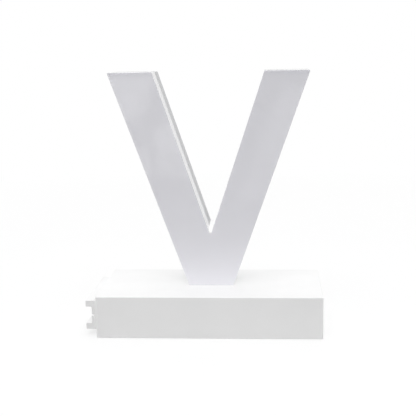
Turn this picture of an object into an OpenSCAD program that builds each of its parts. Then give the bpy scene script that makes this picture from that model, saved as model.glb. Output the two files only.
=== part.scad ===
// Light-up letter V on a coupling base. A white moulded base holds the cells, the switch and the lamp
// driver, and carries a hollow letter with an opal front cap and a grey rear housing.
// Millimetres, +Z up, +Y away from the viewer, origin at the middle of the footprint on the table.

/* [Base] */
// Width of the base shell
base_w = 170; // [168:1:220]
// Depth of the base shell, front to back
base_d = 84; // [82:1:110]
// Height of the base shell
base_h = 31.5; // [31:0.5:40]
// Radius of the base shell's upright corners
base_corner_r = 1.2; // [0.6:0.1:3]
// Thickness of the base shell's walls
base_wall = 2.4; // [1.8:0.1:2.8]
// Thickness of the base shell's top
base_top_t = 2.6; // [2:0.1:3]
// Thickness of the bottom cover
cover_t = 2.4; // [2.2:0.1:2.8]
// Gap between the bottom cover and the walls round it
cover_gap = 0.3; // [0.2:0.05:0.5]
// Diameter of the posts that take the cover screws
cover_post_d = 7; // [6:0.1:8]
// Distance of the cover posts from the outside of the walls
cover_post_edge = 6.5; // [6.2:0.1:8]

/* [Feet] */
// Diameter of a rubber foot
foot_d = 8; // [6:0.1:8.4]
// Thickness of a rubber foot
foot_t = 1.6; // [1.2:0.1:2]
// How far the feet stand out below the base
foot_stand = 0.6; // [0.4:0.1:1]
// Distance of the feet from the ends of the base
foot_end = 8; // [7.5:0.1:8.4]
// Distance of the feet from the front and the back of the base
foot_side = 16; // [14.5:0.5:24]

/* [Letter] */
// Height of the letter above the base
letter_h = 165; // [140:1:200]
// Width over both arms at the top
letter_w = 153; // [140:1:170]
// Width of one arm along its top
arm_w = 34.2; // [32:0.1:38]
// Width of the letter where it meets the base
letter_foot_w = 34.5; // [33:0.1:40]
// Height of the notch floor above the base
notch_h = 41.5; // [38:0.5:46]
// Width of the notch floor
notch_w = 1.4; // [1:0.1:3]
// Ledge between the front of the base and the letter's face
front_ledge = 34.5; // [30:0.5:38]
// Depth of the opal cap
cap_depth = 16; // [14:0.5:18]
// Thickness of the opal face
face_t = 3; // [2:0.1:4]
// Thickness of the opal cap's sides
cap_wall = 2.4; // [2:0.1:3]
// Depth of the grey rear housing
housing_depth = 19; // [17:0.5:21]
// Thickness of the housing's sides
housing_wall = 2.2; // [1.8:0.1:2.6]
// Thickness of the housing's back
back_t = 2.4; // [2:0.1:3]
// Depth of the shoulder that the cap rests on
shoulder_t = 2; // [1.5:0.1:3]
// How far the housing's lip reaches into the cap
lip_h = 4; // [3:0.1:6]
// Thickness of the lip
lip_t = 1.6; // [1.2:0.1:2]
// Gap between the lip and the cap
lip_gap = 0.2; // [0.1:0.05:0.4]

/* [Letter screw posts] */
// Diameter of the posts in the housing and the cap
post_d = 7; // [6.2:0.1:7.4]
// Distance of the posts from the arm's edges, across
post_edge = 7.2; // [6.8:0.1:7.6]
// Distance of the top posts below the letter's top
post_drop = 13; // [10:0.5:20]
// Height of the middle posts above the base
post_mid_h = 72; // [66:1:84]
// Height of the low posts above the base
post_low_h = 22; // [19:0.5:26]
// Distance of the low posts from the middle
post_low_x = 13; // [11:0.5:15]

/* [Letter fixing] */
// Distance of the fixing screws from the middle
fixing_x = 9.5; // [9:0.1:11]
// Height of the bosses that take the fixing screws
fixing_boss_h = 12; // [10:0.5:13]
// Diameter of those bosses
fixing_boss_d = 7.5; // [7:0.1:8]
// Thickness of the clamp plate under the base's top
clamp_t = 1.5; // [1:0.1:2]
// Width of the clamp plate
clamp_w = 34; // [32:0.5:40]
// Depth of the clamp plate
clamp_d = 14; // [12:0.5:16]
// Outer diameter of the wire grommet
grommet_d = 7; // [6:0.1:7.4]
// Bore of the wire grommet
grommet_bore_d = 4.2; // [4:0.1:4.6]
// Diameter of the grommet's flange
grommet_flange_d = 10; // [9:0.1:10.5]
// Thickness of the grommet's flange
grommet_flange_t = 1.2; // [0.8:0.1:1.6]

/* [Lamps] */
// Width of a lamp strip
strip_w = 9; // [8:0.1:9.2]
// Thickness of a lamp strip
strip_t = 1.2; // [0.8:0.1:1.6]
// Height of a strip's lower end above the base
strip_rise = 44; // [40:0.5:50]
// Room between a strip's upper end and the letter's top
strip_top_gap = 9; // [7:0.5:14]
// Height of the pads that a strip is screwed to
strip_pad_h = 2; // [1.5:0.1:3]
// Diameter of those pads
strip_pad_d = 5; // [4.4:0.1:6]
// Lamps on a strip
lamp_count = 6; // [4:1:8]
// Side of one lamp
lamp_w = 5; // [3:0.1:5.6]
// Thickness of one lamp
lamp_t = 1.6; // [0.8:0.1:2]
// Diameter of a lamp's round window
lamp_lens_d = 3.8; // [2:0.1:4.2]
// Height of the window above the lamp's body
lamp_lens_t = 0.3; // [0.1:0.05:0.5]

/* [Cells] */
// Diameter of a cell
cell_d = 14.5; // [13.5:0.1:14.5]
// Length of a cell with its nub
cell_l = 50.5; // [44:0.1:50.5]
// Diameter of a cell's nub
cell_nub_d = 5.5; // [4:0.1:6]
// Height of a cell's nub
cell_nub_h = 1; // [0.6:0.1:1.5]
// Distance from cell to cell
cell_pitch = 15.4; // [15.2:0.1:15.6]
// Free height above and below the cells
cell_slack = 0.4; // [0.3:0.05:0.6]
// Length of a contact spring
spring_l = 5.6; // [4.8:0.1:7]
// Mean diameter of a contact spring at its foot
spring_foot_d = 8.4; // [7:0.1:9]
// Mean diameter of a contact spring at its tip
spring_tip_d = 5; // [4.5:0.1:6]
// Diameter of the spring wire
spring_wire_d = 0.7; // [0.5:0.05:0.8]
// Turns of a contact spring
spring_turns = 3; // [2:1:3]
// Thickness of a contact plate
contact_t = 0.4; // [0.3:0.05:0.6]
// Side of a contact plate
contact_w = 11; // [10:0.1:12]
// Width of a contact plate's tail
tail_w = 4; // [3:0.1:5]
// How far a tail stands above the roof of the cell well
tail_rise = 2; // [1.5:0.1:3]
// Thickness of the cell well's walls and roof
well_wall = 1.4; // [1:0.1:1.8]
// Width of a rib between two cells
well_rib_w = 1.6; // [1:0.1:1.8]
// Depth of a rib between two cells
well_rib_h = 4.4; // [3:0.1:4.6]
// Room between the left wall of the base and the cell well's rim
well_left_gap = 9.6; // [9.4:0.1:10.5]
// Room between the back wall of the base and the cell well
well_back_gap = 1.2; // [0.8:0.1:2]

/* [Battery door] */
// Thickness of the door
door_t = 2.3; // [2.1:0.1:2.8]
// Thickness of the lips that carry the door
door_lip_t = 1; // [0.8:0.1:1.2]
// How far the door's edges reach over the lips
door_edge_w = 1.6; // [1.2:0.1:1.8]
// Thickness of the rim's roof over the door's edges
rim_roof_t = 1.4; // [1:0.1:2]
// Thickness of the rim's walls
rim_wall = 1.4; // [1:0.1:1.6]
// Grip grooves in the door's underside
grip_count = 4; // [2:1:6]
// Length of a grip groove
grip_l = 24; // [16:1:36]
// Width of a grip groove
grip_w = 1.2; // [0.8:0.1:1.6]
// Depth of a grip groove
grip_depth = 0.5; // [0.3:0.05:0.6]
// Distance from grip groove to grip groove
grip_pitch = 2.4; // [2:0.1:3]
// Distance of the first grip groove from the door's back end
grip_start = 4.5; // [4:0.1:6]

/* [Switch] */
// Distance of the switch from the right end of the base
switch_end = 45; // [42:1:52]
// Travel of the knob
switch_travel = 4; // [3:0.1:4.4]
// Width of the knob where it passes the wall
knob_w = 4; // [3.4:0.1:4.6]
// Height of the knob where it passes the wall
knob_h = 4.4; // [3.6:0.1:4.6]
// How far the knob stands out of the wall
knob_out = 2.4; // [1.8:0.1:3]
// Width of the knob's slider inside the frame
slider_w = 7; // [6.6:0.1:7.2]
// Height of the knob's slider inside the frame
slider_h = 5.4; // [5.2:0.05:5.4]
// Grip grooves across the knob
knob_groove_count = 3; // [2:1:4]
// Width of a knob groove
knob_groove_w = 0.5; // [0.3:0.05:0.6]
// Depth of a knob groove
knob_groove_depth = 0.4; // [0.2:0.05:0.6]
// Sheet thickness of the switch frame
frame_t = 0.5; // [0.4:0.05:0.6]
// Length of the frame's can
can_l = 13; // [12.8:0.1:14]
// Height of the frame's can
can_h = 7; // [6.9:0.1:7.6]
// Depth of the frame's can
can_d = 4.5; // [4.2:0.1:5]
// Length of the frame over its ears
ear_l = 25; // [24.5:0.1:27]
// Distance of the switch screws from the middle of the switch
ear_screw_x = 9.8; // [9.6:0.1:10]
// Thickness of the switch's base plate
switch_base_t = 1.2; // [1:0.1:1.6]
// Length of a switch terminal
terminal_l = 3; // [2:0.1:4]
// Width of a switch terminal
terminal_w = 1.2; // [1:0.1:1.4]
// Distance from terminal to terminal
terminal_pitch = 3; // [2.6:0.1:3.2]
// Height of the marks above the middle of the switch
mark_rise = 6; // [5.4:0.1:7]
// Height of a mark
mark_h = 3.2; // [2:0.1:3.6]
// Stroke of a mark
mark_stroke = 0.7; // [0.4:0.05:0.8]
// Depth of a mark
mark_depth = 0.3; // [0.2:0.05:0.5]

/* [Driver board] */
// Width of the driver board
board_w = 44; // [42:0.5:46]
// Depth of the driver board
board_d = 34; // [33:0.5:37]
// Thickness of the driver board
board_t = 1.6; // [1.2:0.1:2]
// Distance of the board from the right end of the base
board_end = 23; // [22:0.5:26]
// Distance of the board from the front of the base
board_front = 19; // [16:0.5:22]
// Height of the posts that carry the board
standoff_h = 5; // [4:0.1:7]
// Diameter of those posts
standoff_d = 5.6; // [5:0.1:6]
// Distance of the posts from the board's edges
standoff_edge = 3.6; // [3.2:0.1:4]
// Width of the driver chip
chip_w = 6; // [4:0.1:8]
// Depth of the driver chip
chip_d = 4; // [3:0.1:5]
// Thickness of the driver chip
chip_t = 1.5; // [1:0.1:2]
// Diameter of the coil
coil_d = 7; // [5:0.1:8]
// Height of the coil
coil_h = 4; // [3:0.1:5]
// Diameter of the capacitor
capacitor_d = 6.3; // [5:0.1:8]
// Height of the capacitor
capacitor_h = 7.7; // [6:0.1:10]
// Distance of the coil and the capacitor from the board's middle, along the board
part_x = 11; // [8:0.5:14]
// Distance of the coil and the capacitor from the board's middle, across the board
part_y = 6; // [4.5:0.5:8]
// Depth of a lead socket, along its leads
plug_l = 6; // [5:0.1:7]
// Width of a lead socket
plug_w = 5.6; // [4.8:0.1:6]
// Height of a lead socket
plug_h = 5.6; // [4:0.1:6]
// Distance from lead socket to lead socket
plug_pitch = 7; // [6.4:0.1:7.2]

/* [Leads] */
// Diameter of a lead
lead_d = 1.4; // [1:0.1:1.6]
// Distance between the two leads of a pair
lead_pair = 1.8; // [1.8:0.05:2]
// Radius of a lead's bends
lead_bend = 1.8; // [1.4:0.1:2]
// Gap between the battery leads and the screw heads above them
lead_gap = 0.5; // [0.4:0.1:0.7]
// Straight run of a lead before its end
lead_end_l = 6; // [5:0.5:7]
// Distance between the two leads that join the strips
link_step = 3; // [2.4:0.1:3.2]
// How far those leads hang below the notch floor
link_drop = 7; // [6.5:0.1:9]

/* [Coupling] */
// Distance of the coupling's ends from the front and the back of the base
rail_end = 6.5; // [6.5:0.5:12]
// Height of the coupling
rail_h = 22.2; // [21.6:0.1:23]
// Thickness of the coupling plate
plate_t = 2.6; // [2:0.1:3]
// Thickness of a hook's leg
leg_t = 1.8; // [1.6:0.1:2.2]
// Length of a hook's tongue past its leg
tongue_l = 4.5; // [3.5:0.1:5]
// Thickness of a hook's tongue
tongue_t = 4.7; // [4.2:0.1:4.8]
// Gap between the two hooks
hook_gap = 1.2; // [0.8:0.1:1.4]
// Distance of the hook screws from the coupling's ends
hook_screw_end = 11.5; // [10:0.5:15]
// Diameter of the bosses that take the hook screws
hook_boss_d = 5.6; // [5:0.1:5.8]
// Play of a neighbour's coupling in the socket
socket_play = 0.3; // [0.2:0.05:0.4]
// Thickness of the socket's walls
socket_wall = 1.2; // [1:0.1:1.4]
// Thickness of the socket's flange
socket_flange_t = 2; // [1.5:0.1:2.5]
// How far the flange reaches past the socket, front and back
socket_flange_w = 1.2; // [0.8:0.1:1.4]

/* [Screws] */
// Shank of the small screws: switch, strips
small_d = 2; // [1.6:0.1:2.2]
// Head of the small screws
small_head_d = 3.6; // [3.2:0.1:3.8]
// Head height of the small screws
small_head_t = 1.1; // [0.8:0.1:1.2]
// Shank of the medium screws: cover, board, hooks, housing
medium_d = 2.5; // [2.2:0.1:2.6]
// Head of the medium screws
medium_head_d = 4.6; // [4.2:0.1:4.7]
// Head height of the medium screws
medium_head_t = 1.2; // [1:0.1:1.3]
// Shank of the fixing screws
large_d = 3; // [2.8:0.1:3.2]
// Head of the fixing screws
large_head_d = 5.5; // [5:0.1:6]
// Head height of the fixing screws
large_head_t = 2; // [1.6:0.1:2.4]
// Length of the cover screws
cover_screw_l = 10; // [8:0.5:14]
// Length of the board screws
board_screw_l = 5; // [4:0.5:6]
// Length of the hook screws
hook_screw_l = 10; // [8:0.5:11]
// Length of the housing screws
housing_screw_l = 22; // [21:0.5:24]
// Length of the fixing screws
fixing_screw_l = 12; // [9:0.5:13]
// Length of the strip screws
strip_screw_l = 2.8; // [2.4:0.1:3]
// Length of the switch screws
switch_screw_l = 3; // [2.6:0.1:3.4]
// Width of the cross in a screw head
cross_w = 0.7; // [0.5:0.05:0.8]
// Depth of the cross in a screw head
cross_depth = 0.5; // [0.3:0.05:0.6]
// Reach of the cross, as a part of the head
cross_reach = 0.64; // [0.5:0.02:0.7]

/* [Fits] */
// Clearance of moving pieces
move_gap = 0.3; // [0.25:0.05:0.4]
// Clearance on the diameter of a screw or sleeve in its hole
hole_play = 0.1; // [0.06:0.02:0.2]
// Clearance on the diameter of a recess round a screw head
head_play = 0.4; // [0.2:0.05:0.5]
// Clearance round a fixed insert
insert_gap = 0.2; // [0.1:0.05:0.3]

/* [Hidden] */

$fn = 48;
// Overshoot of a cut past the face that it opens
cut = 1;
// Sides of a lead and of a spring's wire
lead_sides = 8;
wire_sides = 6;
// Rings in one bend of a lead and in one turn of a spring
bend_rings = 4;
turn_rings = 8;

// Colours
WHITE = [0.93, 0.93, 0.93];
OPAL = [0.88, 0.89, 0.91];
GREY = [0.66, 0.67, 0.68];
OFF_WHITE = [0.86, 0.86, 0.85];
RUBBER = [0.16, 0.16, 0.17];
BLACK = [0.08, 0.08, 0.09];
STEEL = [0.72, 0.73, 0.75];
BRASS = [0.80, 0.66, 0.36];
PHENOLIC = [0.55, 0.33, 0.16];
BOARD = [0.10, 0.38, 0.20];
STRIP = [0.92, 0.93, 0.91];
LAMP = [0.95, 0.90, 0.66];
RED = [0.75, 0.08, 0.08];
CELL = [0.20, 0.36, 0.62];

// Levels and planes of the base
shell_z0 = foot_stand;
shell_z1 = shell_z0 + base_h;
ceiling_z = shell_z1 - base_top_t;
floor_z = shell_z0 + cover_t;
middle_z = shell_z0 + base_h / 2;
end_x = base_w / 2;
face_y = base_d / 2;
inner_x = end_x - base_wall;
inner_y = face_y - base_wall;

// Planes of the letter
letter_y0 = front_ledge - face_y;
split_y = letter_y0 + cap_depth;
letter_y1 = split_y + housing_depth;
back_inner_y = letter_y1 - back_t;
fixing_y = split_y + housing_depth / 2;

// Cells and their well
cell_count = 3;
well_l = cell_l + spring_l + 2 * contact_t;
well_d = cell_count * cell_pitch;
groove_half = well_l / 2 + door_edge_w + move_gap;
rim_half = groove_half + rim_wall;
well_x = well_left_gap + rim_half - inner_x;
well_y = inner_y - well_back_gap - well_wall - well_d / 2;
groove_z0 = shell_z0 + door_lip_t;
door_z1 = shell_z0 + door_t;
groove_z1 = door_z1 + move_gap;
rim_z1 = groove_z1 + rim_roof_t;
cell_z = groove_z1 + cell_slack + cell_d / 2;
well_z1 = cell_z + cell_d / 2 + cell_slack;
well_roof_z = well_z1 + well_wall;
door_y0 = well_y - well_d / 2 - door_edge_w;

// Coupling and socket
rail_l = base_d - 2 * rail_end;
rail_x1 = plate_t + leg_t;
socket_depth = rail_x1 + socket_play;
slot_depth = socket_depth + tongue_l;
socket_x0 = end_x - slot_depth - socket_wall;
socket_half_l = rail_l / 2 + socket_play;
socket_half_h = rail_h / 2 + socket_play;
slot_half = rail_h / 2 - tongue_t - socket_play;
hook_screw_y = rail_l / 2 - hook_screw_end;
hook_screw_z = (hook_gap / 2 + rail_h / 2 - tongue_t) / 2;

// Driver board and switch
board_x = end_x - board_end - board_w / 2;
board_y = board_front - face_y + board_d / 2;
board_z0 = floor_z + standoff_h;
board_z1 = board_z0 + board_t;
plug_x = board_x - board_w / 2 + plug_l / 2;
plug_z = board_z1 + plug_h / 2;
switch_x = end_x - switch_end;
can_y = inner_y - frame_t - can_d;
knob_rest_x = switch_x - switch_travel / 2;
window_l = knob_w + switch_travel + 2 * move_gap;
window_h = knob_h + 2 * move_gap;
terminal_y = can_y - switch_base_t - terminal_l;

// Leads: where they start, run and end
tail_top_z = well_roof_z + tail_rise;
heads_z = ceiling_z - clamp_t - large_head_t;
lead_z = heads_z - lead_gap - lead_d / 2;
minus_x = well_x - well_l / 2 + contact_t / 2;
plus_x = well_x + well_l / 2 - contact_t / 2;
plug_face_x = plug_x - plug_l / 2;
run_x = plug_face_x - lead_end_l;
terminal_run_y = terminal_y - lead_end_l;

// Lamp strips, which lie along the middle of the arms
outer_slope = (letter_w - letter_foot_w) / 2 / letter_h;
inner_slope = (letter_w / 2 - arm_w - notch_w / 2) / (letter_h - notch_h);
arm_angle = atan((outer_slope + inner_slope) / 2);
strip_l = (letter_h - strip_rise - strip_top_gap) / cos(arm_angle);
strip_y0 = back_inner_y - strip_pad_h - strip_t;
lamp_pitch = strip_l / lamp_count;

function outer_edge(h) = letter_foot_w / 2 + outer_slope * h;
function inner_edge(h) = notch_w / 2 + inner_slope * (h - notch_h);
function arm_middle(h) = (outer_edge(h) + inner_edge(h)) / 2;

letter_outline = [
    [-letter_foot_w / 2, 0], [letter_foot_w / 2, 0],
    [letter_w / 2, letter_h], [letter_w / 2 - arm_w, letter_h],
    [notch_w / 2, notch_h], [-notch_w / 2, notch_h],
    [arm_w - letter_w / 2, letter_h], [-letter_w / 2, letter_h]];

// Where things repeat: places in plan, in the letter's plane or in the base's end wall
cover_screw_places = [for (x = [cover_post_edge - end_x, 0, socket_x0 - cover_post_edge])
    for (side = [-1, 1]) [x, side * (face_y - cover_post_edge)]];
foot_places = concat([[0, 0]],
    [for (sx = [-1, 1]) for (sy = [-1, 1]) [sx * (end_x - foot_end), sy * (face_y - foot_side)]]);
post_places = [for (side = [-1, 1])
    each [[side * (inner_edge(letter_h - post_drop) + post_edge), letter_h - post_drop],
        [side * (outer_edge(letter_h - post_drop) - post_edge), letter_h - post_drop],
        [side * (outer_edge(post_mid_h) - post_edge), post_mid_h],
        [side * post_low_x, post_low_h]]];
hook_screw_places = [for (sy = [-1, 1]) for (sz = [-1, 1])
    [sy * hook_screw_y, middle_z + sz * hook_screw_z]];
standoff_places = [for (sx = [-1, 1]) for (sy = [-1, 1])
    [board_x + sx * (board_w / 2 - standoff_edge), board_y + sy * (board_d / 2 - standoff_edge)]];
strip_screw_steps = [lamp_pitch, strip_l - lamp_pitch];
cell_places = [for (i = [0 : cell_count - 1]) well_y + (i - (cell_count - 1) / 2) * cell_pitch];
plug_places = [for (i = [-1, 0, 1]) board_y + i * plug_pitch];

// Geometry helpers
function unit(v) = v / norm(v);
function across(e) = [-e[1], e[0]];

// The outline moved inwards by d, edge by edge; its points run anticlockwise
function inset(outline, d) = let (n = len(outline)) [for (i = [0 : n - 1])
    let (p = outline[i],
        before = across(unit(p - outline[(i + n - 1) % n])),
        after = across(unit(outline[(i + 1) % n] - p)))
    p + d * (before + after) / (1 + before * after)];

// A path with its corners rounded
function bend(a, b, c, r) = let (p = b + r * unit(a - b), q = b + r * unit(c - b))
    [for (i = [0 : bend_rings]) let (s = i / bend_rings)
        (1 - s) * (1 - s) * p + 2 * s * (1 - s) * b + s * s * q];
function soften(path, r) = concat([path[0]],
    [for (i = [1 : len(path) - 2]) each bend(path[i - 1], path[i], path[i + 1], r)],
    [path[len(path) - 1]]);

// Rings along a path, each turned as little as can be from the one before
function headings(path) = let (last = len(path) - 1)
    [for (i = [0 : last]) unit(path[min(i + 1, last)] - path[max(i - 1, 0)])];
function carried(heads, side, i = 0, found = []) = i == len(heads) ? found
    : let (now = unit(side - (side * heads[i]) * heads[i]))
        carried(heads, now, i + 1, concat(found, [now]));
function any_side(head) = abs(head[2]) > abs(head[0]) ? cross(head, [1, 0, 0]) : cross(head, [0, 0, 1]);

// The turns of a contact spring along +X, from its foot to its tip, with straight ends
function spring_radius(s) = (spring_foot_d + (spring_tip_d - spring_foot_d) * s) / 2;
function spring_point(i) = let (s = i / (spring_turns * turn_rings), a = 360 * i / turn_rings)
    [spring_wire_d + s * (spring_l - 2 * spring_wire_d),
        spring_radius(s) * cos(a), spring_radius(s) * sin(a)];
spring_path = concat([[0, spring_radius(0), 0]],
    [for (i = [0 : spring_turns * turn_rings]) spring_point(i)],
    [[spring_l, spring_radius(1), 0]]);
spring_gap = min([for (i = [0 : len(spring_path) - 1])
    for (j = [i + turn_rings / 2 : 1 : len(spring_path) - 1])
        norm(spring_path[i] - spring_path[j])]) - spring_wire_d;
echo(least_spring_gap = spring_gap);

// Helper shapes

// A closed tube along a path
module tube(path, d, sides) {
    heads = headings(path);
    sides_out = carried(heads, any_side(heads[0]));
    rings = len(path);
    last = (rings - 1) * sides;
    points = [for (i = [0 : rings - 1]) for (k = [0 : sides - 1]) let (a = 360 * k / sides)
        path[i] + d / 2 * (cos(a) * sides_out[i] + sin(a) * cross(heads[i], sides_out[i]))];
    skin = [for (i = [0 : rings - 2]) for (k = [0 : sides - 1])
        let (a = i * sides + k, b = i * sides + (k + 1) % sides)
        each [[a, a + sides, b + sides], [a, b + sides, b]]];
    ends = [for (k = [1 : sides - 2]) each [[0, k, k + 1], [last, last + k + 1, last + k]]];
    polyhedron(points = points, faces = concat(skin, ends));
}

// A lead along its route
module lead(route) {
    tube(soften(route, lead_bend), lead_d, lead_sides);
}

// A box that is centred in plan, with rounded upright edges
module rounded_box(size, r) {
    linear_extrude(size[2]) {
        square([size[0] - 2 * r, size[1]], center = true);
        square([size[0], size[1] - 2 * r], center = true);
        for (sx = [-1, 1]) for (sy = [-1, 1])
            translate([sx * (size[0] / 2 - r), sy * (size[1] / 2 - r)]) circle(r);
    }
}

// A box between two corners
module span(low, high) {
    translate(low) cube(high - low);
}

// A cylinder from a point along +X or +Y
module rod_x(at, d, l) {
    translate(at) rotate([0, 90, 0]) cylinder(d = d, h = l);
}
module rod_y(at, d, l) {
    translate(at) rotate([-90, 0, 0]) cylinder(d = d, h = l);
}

// A slab of the letter between two planes, with its outline moved inwards
module letter_slab(y0, y1, d) {
    translate([0, y1, shell_z1]) rotate([90, 0, 0]) linear_extrude(y1 - y0)
        polygon(inset(letter_outline, d));
}

// A screw whose head stands on z = 0 and whose shank runs down
module screw(d, l, head_d, head_t) {
    difference() {
        union() {
            cylinder(d = head_d, h = head_t);
            translate([0, 0, -l]) cylinder(d = d, h = l);
        }
        for (a = [0, 90]) rotate([0, 0, a])
            translate([-head_d * cross_reach / 2, -cross_w / 2, head_t - cross_depth])
                cube([head_d * cross_reach, cross_w, cross_depth + cut]);
    }
}

// A frame along an arm: the children's +Z runs up the arm from the strip's lower end
module on_arm(side) {
    translate([side * arm_middle(strip_rise), 0, shell_z1 + strip_rise])
        rotate([0, side * arm_angle, 0]) children();
}

// Base
module base_shell() {
    color(WHITE) difference() {
        union() {
            difference() {
                translate([0, 0, shell_z0]) rounded_box([base_w, base_d, base_h], base_corner_r);
                span([-inner_x, -inner_y, shell_z0 - cut], [inner_x, inner_y, ceiling_z]);
            }
            for (p = cover_screw_places) translate([p[0], p[1], floor_z])
                cylinder(d = cover_post_d, h = ceiling_z - floor_z);
            for (p = hook_screw_places)
                rod_x([-inner_x, p[0], p[1]], hook_boss_d, hook_screw_l - rail_x1);
        }
        for (p = cover_screw_places) translate([p[0], p[1], floor_z - cut])
            cylinder(d = medium_d + hole_play, h = cover_screw_l + cut);
        for (p = hook_screw_places)
            rod_x([-end_x - cut, p[0], p[1]], medium_d + hole_play, hook_screw_l + cut);
        for (side = [-1, 1]) translate([side * fixing_x, fixing_y, ceiling_z - cut])
            cylinder(d = large_d + hole_play, h = base_top_t + 2 * cut);
        translate([0, fixing_y, ceiling_z - cut])
            cylinder(d = grommet_d + hole_play, h = base_top_t + 2 * cut);
        battery_door_notch();
        switch_cuts();
        socket_opening();
    }
}

// The gap in the back wall that the battery door slides through
module battery_door_notch() {
    span([well_x - groove_half, inner_y - cut, shell_z0 - cut],
        [well_x + groove_half, face_y + cut, groove_z1]);
}

// The knob's window, the screw holes and the off and on marks in the back wall
module switch_cuts() {
    translate([switch_x, inner_y + base_wall / 2, middle_z])
        cube([window_l, base_wall + 2 * cut, window_h], center = true);
    for (side = [-1, 1]) {
        rod_y([switch_x + side * ear_screw_x, inner_y - cut, middle_z],
            small_d + hole_play, base_wall + 2 * cut);
        rod_y([switch_x + side * ear_screw_x, face_y - small_head_t, middle_z],
            small_head_d + head_play, small_head_t + cut);
    }
    translate([switch_x + switch_travel / 2, face_y, middle_z + mark_rise])
        cube([mark_stroke, 2 * mark_depth, mark_h], center = true);
    translate([knob_rest_x, face_y - mark_depth, middle_z + mark_rise]) rotate([-90, 0, 0])
        difference() {
            cylinder(d = mark_h, h = mark_depth + cut);
            translate([0, 0, -cut])
                cylinder(d = mark_h - 2 * mark_stroke, h = mark_depth + cut + 2 * cut);
        }
}

// The opening in the right end wall round the socket
module socket_opening() {
    half_l = socket_half_l + socket_wall + insert_gap;
    half_h = socket_half_h + socket_wall + insert_gap;
    span([inner_x - cut, -half_l, middle_z - half_h], [end_x + cut, half_l, middle_z + half_h]);
}

module bottom_cover() {
    cover_x = inner_x - cover_gap;
    cover_y = inner_y - cover_gap;
    well_half_d = well_d / 2 + well_wall;
    rib_l = well_l - 2 * (contact_t + insert_gap);
    color(WHITE) difference() {
        union() {
            span([-cover_x, -cover_y, shell_z0], [cover_x, cover_y, floor_z]);
            span([well_x - rim_half, door_y0 - move_gap - rim_wall, shell_z0],
                [well_x + rim_half, cover_y, rim_z1]);
            span([well_x - well_l / 2 - well_wall, well_y - well_half_d, shell_z0],
                [well_x + well_l / 2 + well_wall, well_y + well_half_d, well_roof_z]);
            for (p = standoff_places) translate([p[0], p[1], floor_z])
                cylinder(d = standoff_d, h = standoff_h);
        }
        difference() {
            span([well_x - well_l / 2, well_y - well_d / 2, shell_z0 - cut],
                [well_x + well_l / 2, well_y + well_d / 2, well_z1]);
            for (i = [1 : cell_count - 1])
                translate([well_x, cell_places[i] - cell_pitch / 2, well_z1])
                    cube([rib_l, well_rib_w, 2 * well_rib_h], center = true);
        }
        span([well_x - well_l / 2, well_y - well_d / 2, shell_z0 - cut],
            [well_x + well_l / 2, face_y, groove_z0 + cut / 2]);
        span([well_x - groove_half, door_y0 - move_gap, groove_z0],
            [well_x + groove_half, face_y, groove_z1]);
        tail_slot(-1, cell_places[0]);
        tail_slot(1, cell_places[cell_count - 1]);
        for (p = cover_screw_places) translate([p[0], p[1], shell_z0 - cut]) {
            cylinder(d = medium_d + hole_play, h = cover_t + 2 * cut);
            cylinder(d = medium_head_d + head_play, h = medium_head_t + cut);
        }
        for (p = foot_places) translate([p[0], p[1], shell_z0 - cut])
            cylinder(d = foot_d + hole_play, h = foot_t - foot_stand + cut);
        for (p = standoff_places) translate([p[0], p[1], board_z0 - board_screw_l])
            cylinder(d = medium_d + hole_play, h = board_screw_l + cut);
    }
}

// The slot in the well's roof that a contact tail comes out of
module tail_slot(side, y) {
    x = well_x + side * (well_l / 2 - contact_t / 2);
    translate([x, y, well_roof_z])
        cube([contact_t + insert_gap, tail_w + insert_gap, 2 * (well_wall + cut)], center = true);
}

module cover_screws() {
    color(STEEL) for (p = cover_screw_places)
        translate([p[0], p[1], shell_z0 + medium_head_t]) rotate([180, 0, 0])
            screw(medium_d, cover_screw_l, medium_head_d, medium_head_t);
}

module rubber_feet() {
    color(RUBBER) for (p = foot_places) translate([p[0], p[1], 0]) cylinder(d = foot_d, h = foot_t);
}

module battery_door() {
    edge_z0 = groove_z0 + move_gap;
    color(WHITE) difference() {
        union() {
            span([well_x - well_l / 2 + move_gap, well_y - well_d / 2 + move_gap, shell_z0],
                [well_x + well_l / 2 - move_gap, face_y, door_z1]);
            span([well_x - well_l / 2 - door_edge_w, door_y0, edge_z0],
                [well_x + well_l / 2 + door_edge_w, face_y, door_z1]);
            span([well_x - well_l / 2 - door_edge_w, inner_y, shell_z0],
                [well_x + well_l / 2 + door_edge_w, face_y, door_z1]);
        }
        for (i = [0 : grip_count - 1])
            translate([well_x - grip_l / 2, face_y - grip_start - i * grip_pitch - grip_w / 2,
                shell_z0 - cut])
                cube([grip_l, grip_w, grip_depth + cut]);
    }
}

// A cell along X; side is the end that its nub points to
module cell(y, side) {
    spring_side = -side;
    body_l = cell_l - cell_nub_h;
    flat_x = spring_side * (well_l / 2 - contact_t - spring_l);
    color(CELL) translate([well_x + flat_x, y, cell_z]) rotate([0, side * 90, 0]) {
        cylinder(d = cell_d, h = body_l);
        cylinder(d = cell_nub_d, h = cell_l);
    }
}
module cell_front() {
    cell(cell_places[0], 1);
}
module cell_middle() {
    cell(cell_places[1], -1);
}
module cell_back() {
    cell(cell_places[2], 1);
}

module contact_springs() {
    color(STEEL) for (i = [0 : cell_count - 1]) let (side = i % 2 == 0 ? -1 : 1)
        translate([well_x + side * (well_l / 2 - contact_t), cell_places[i], cell_z])
            rotate([0, 0, side > 0 ? 180 : 0]) tube(spring_path, spring_wire_d, wire_sides);
}

// A contact plate on an end wall of the well, from cell to cell
module contact(side, first, last) {
    x = well_x + side * (well_l / 2 - contact_t / 2);
    translate([x, (cell_places[first] + cell_places[last]) / 2, cell_z])
        cube([contact_t, cell_places[last] - cell_places[first] + contact_w, contact_w], center = true);
}

// The tail that takes a contact out through the roof
module contact_tail(side, y) {
    x = well_x + side * (well_l / 2 - contact_t / 2);
    span([x - contact_t / 2, y - tail_w / 2, cell_z],
        [x + contact_t / 2, y + tail_w / 2, well_roof_z + tail_rise]);
}

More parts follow.
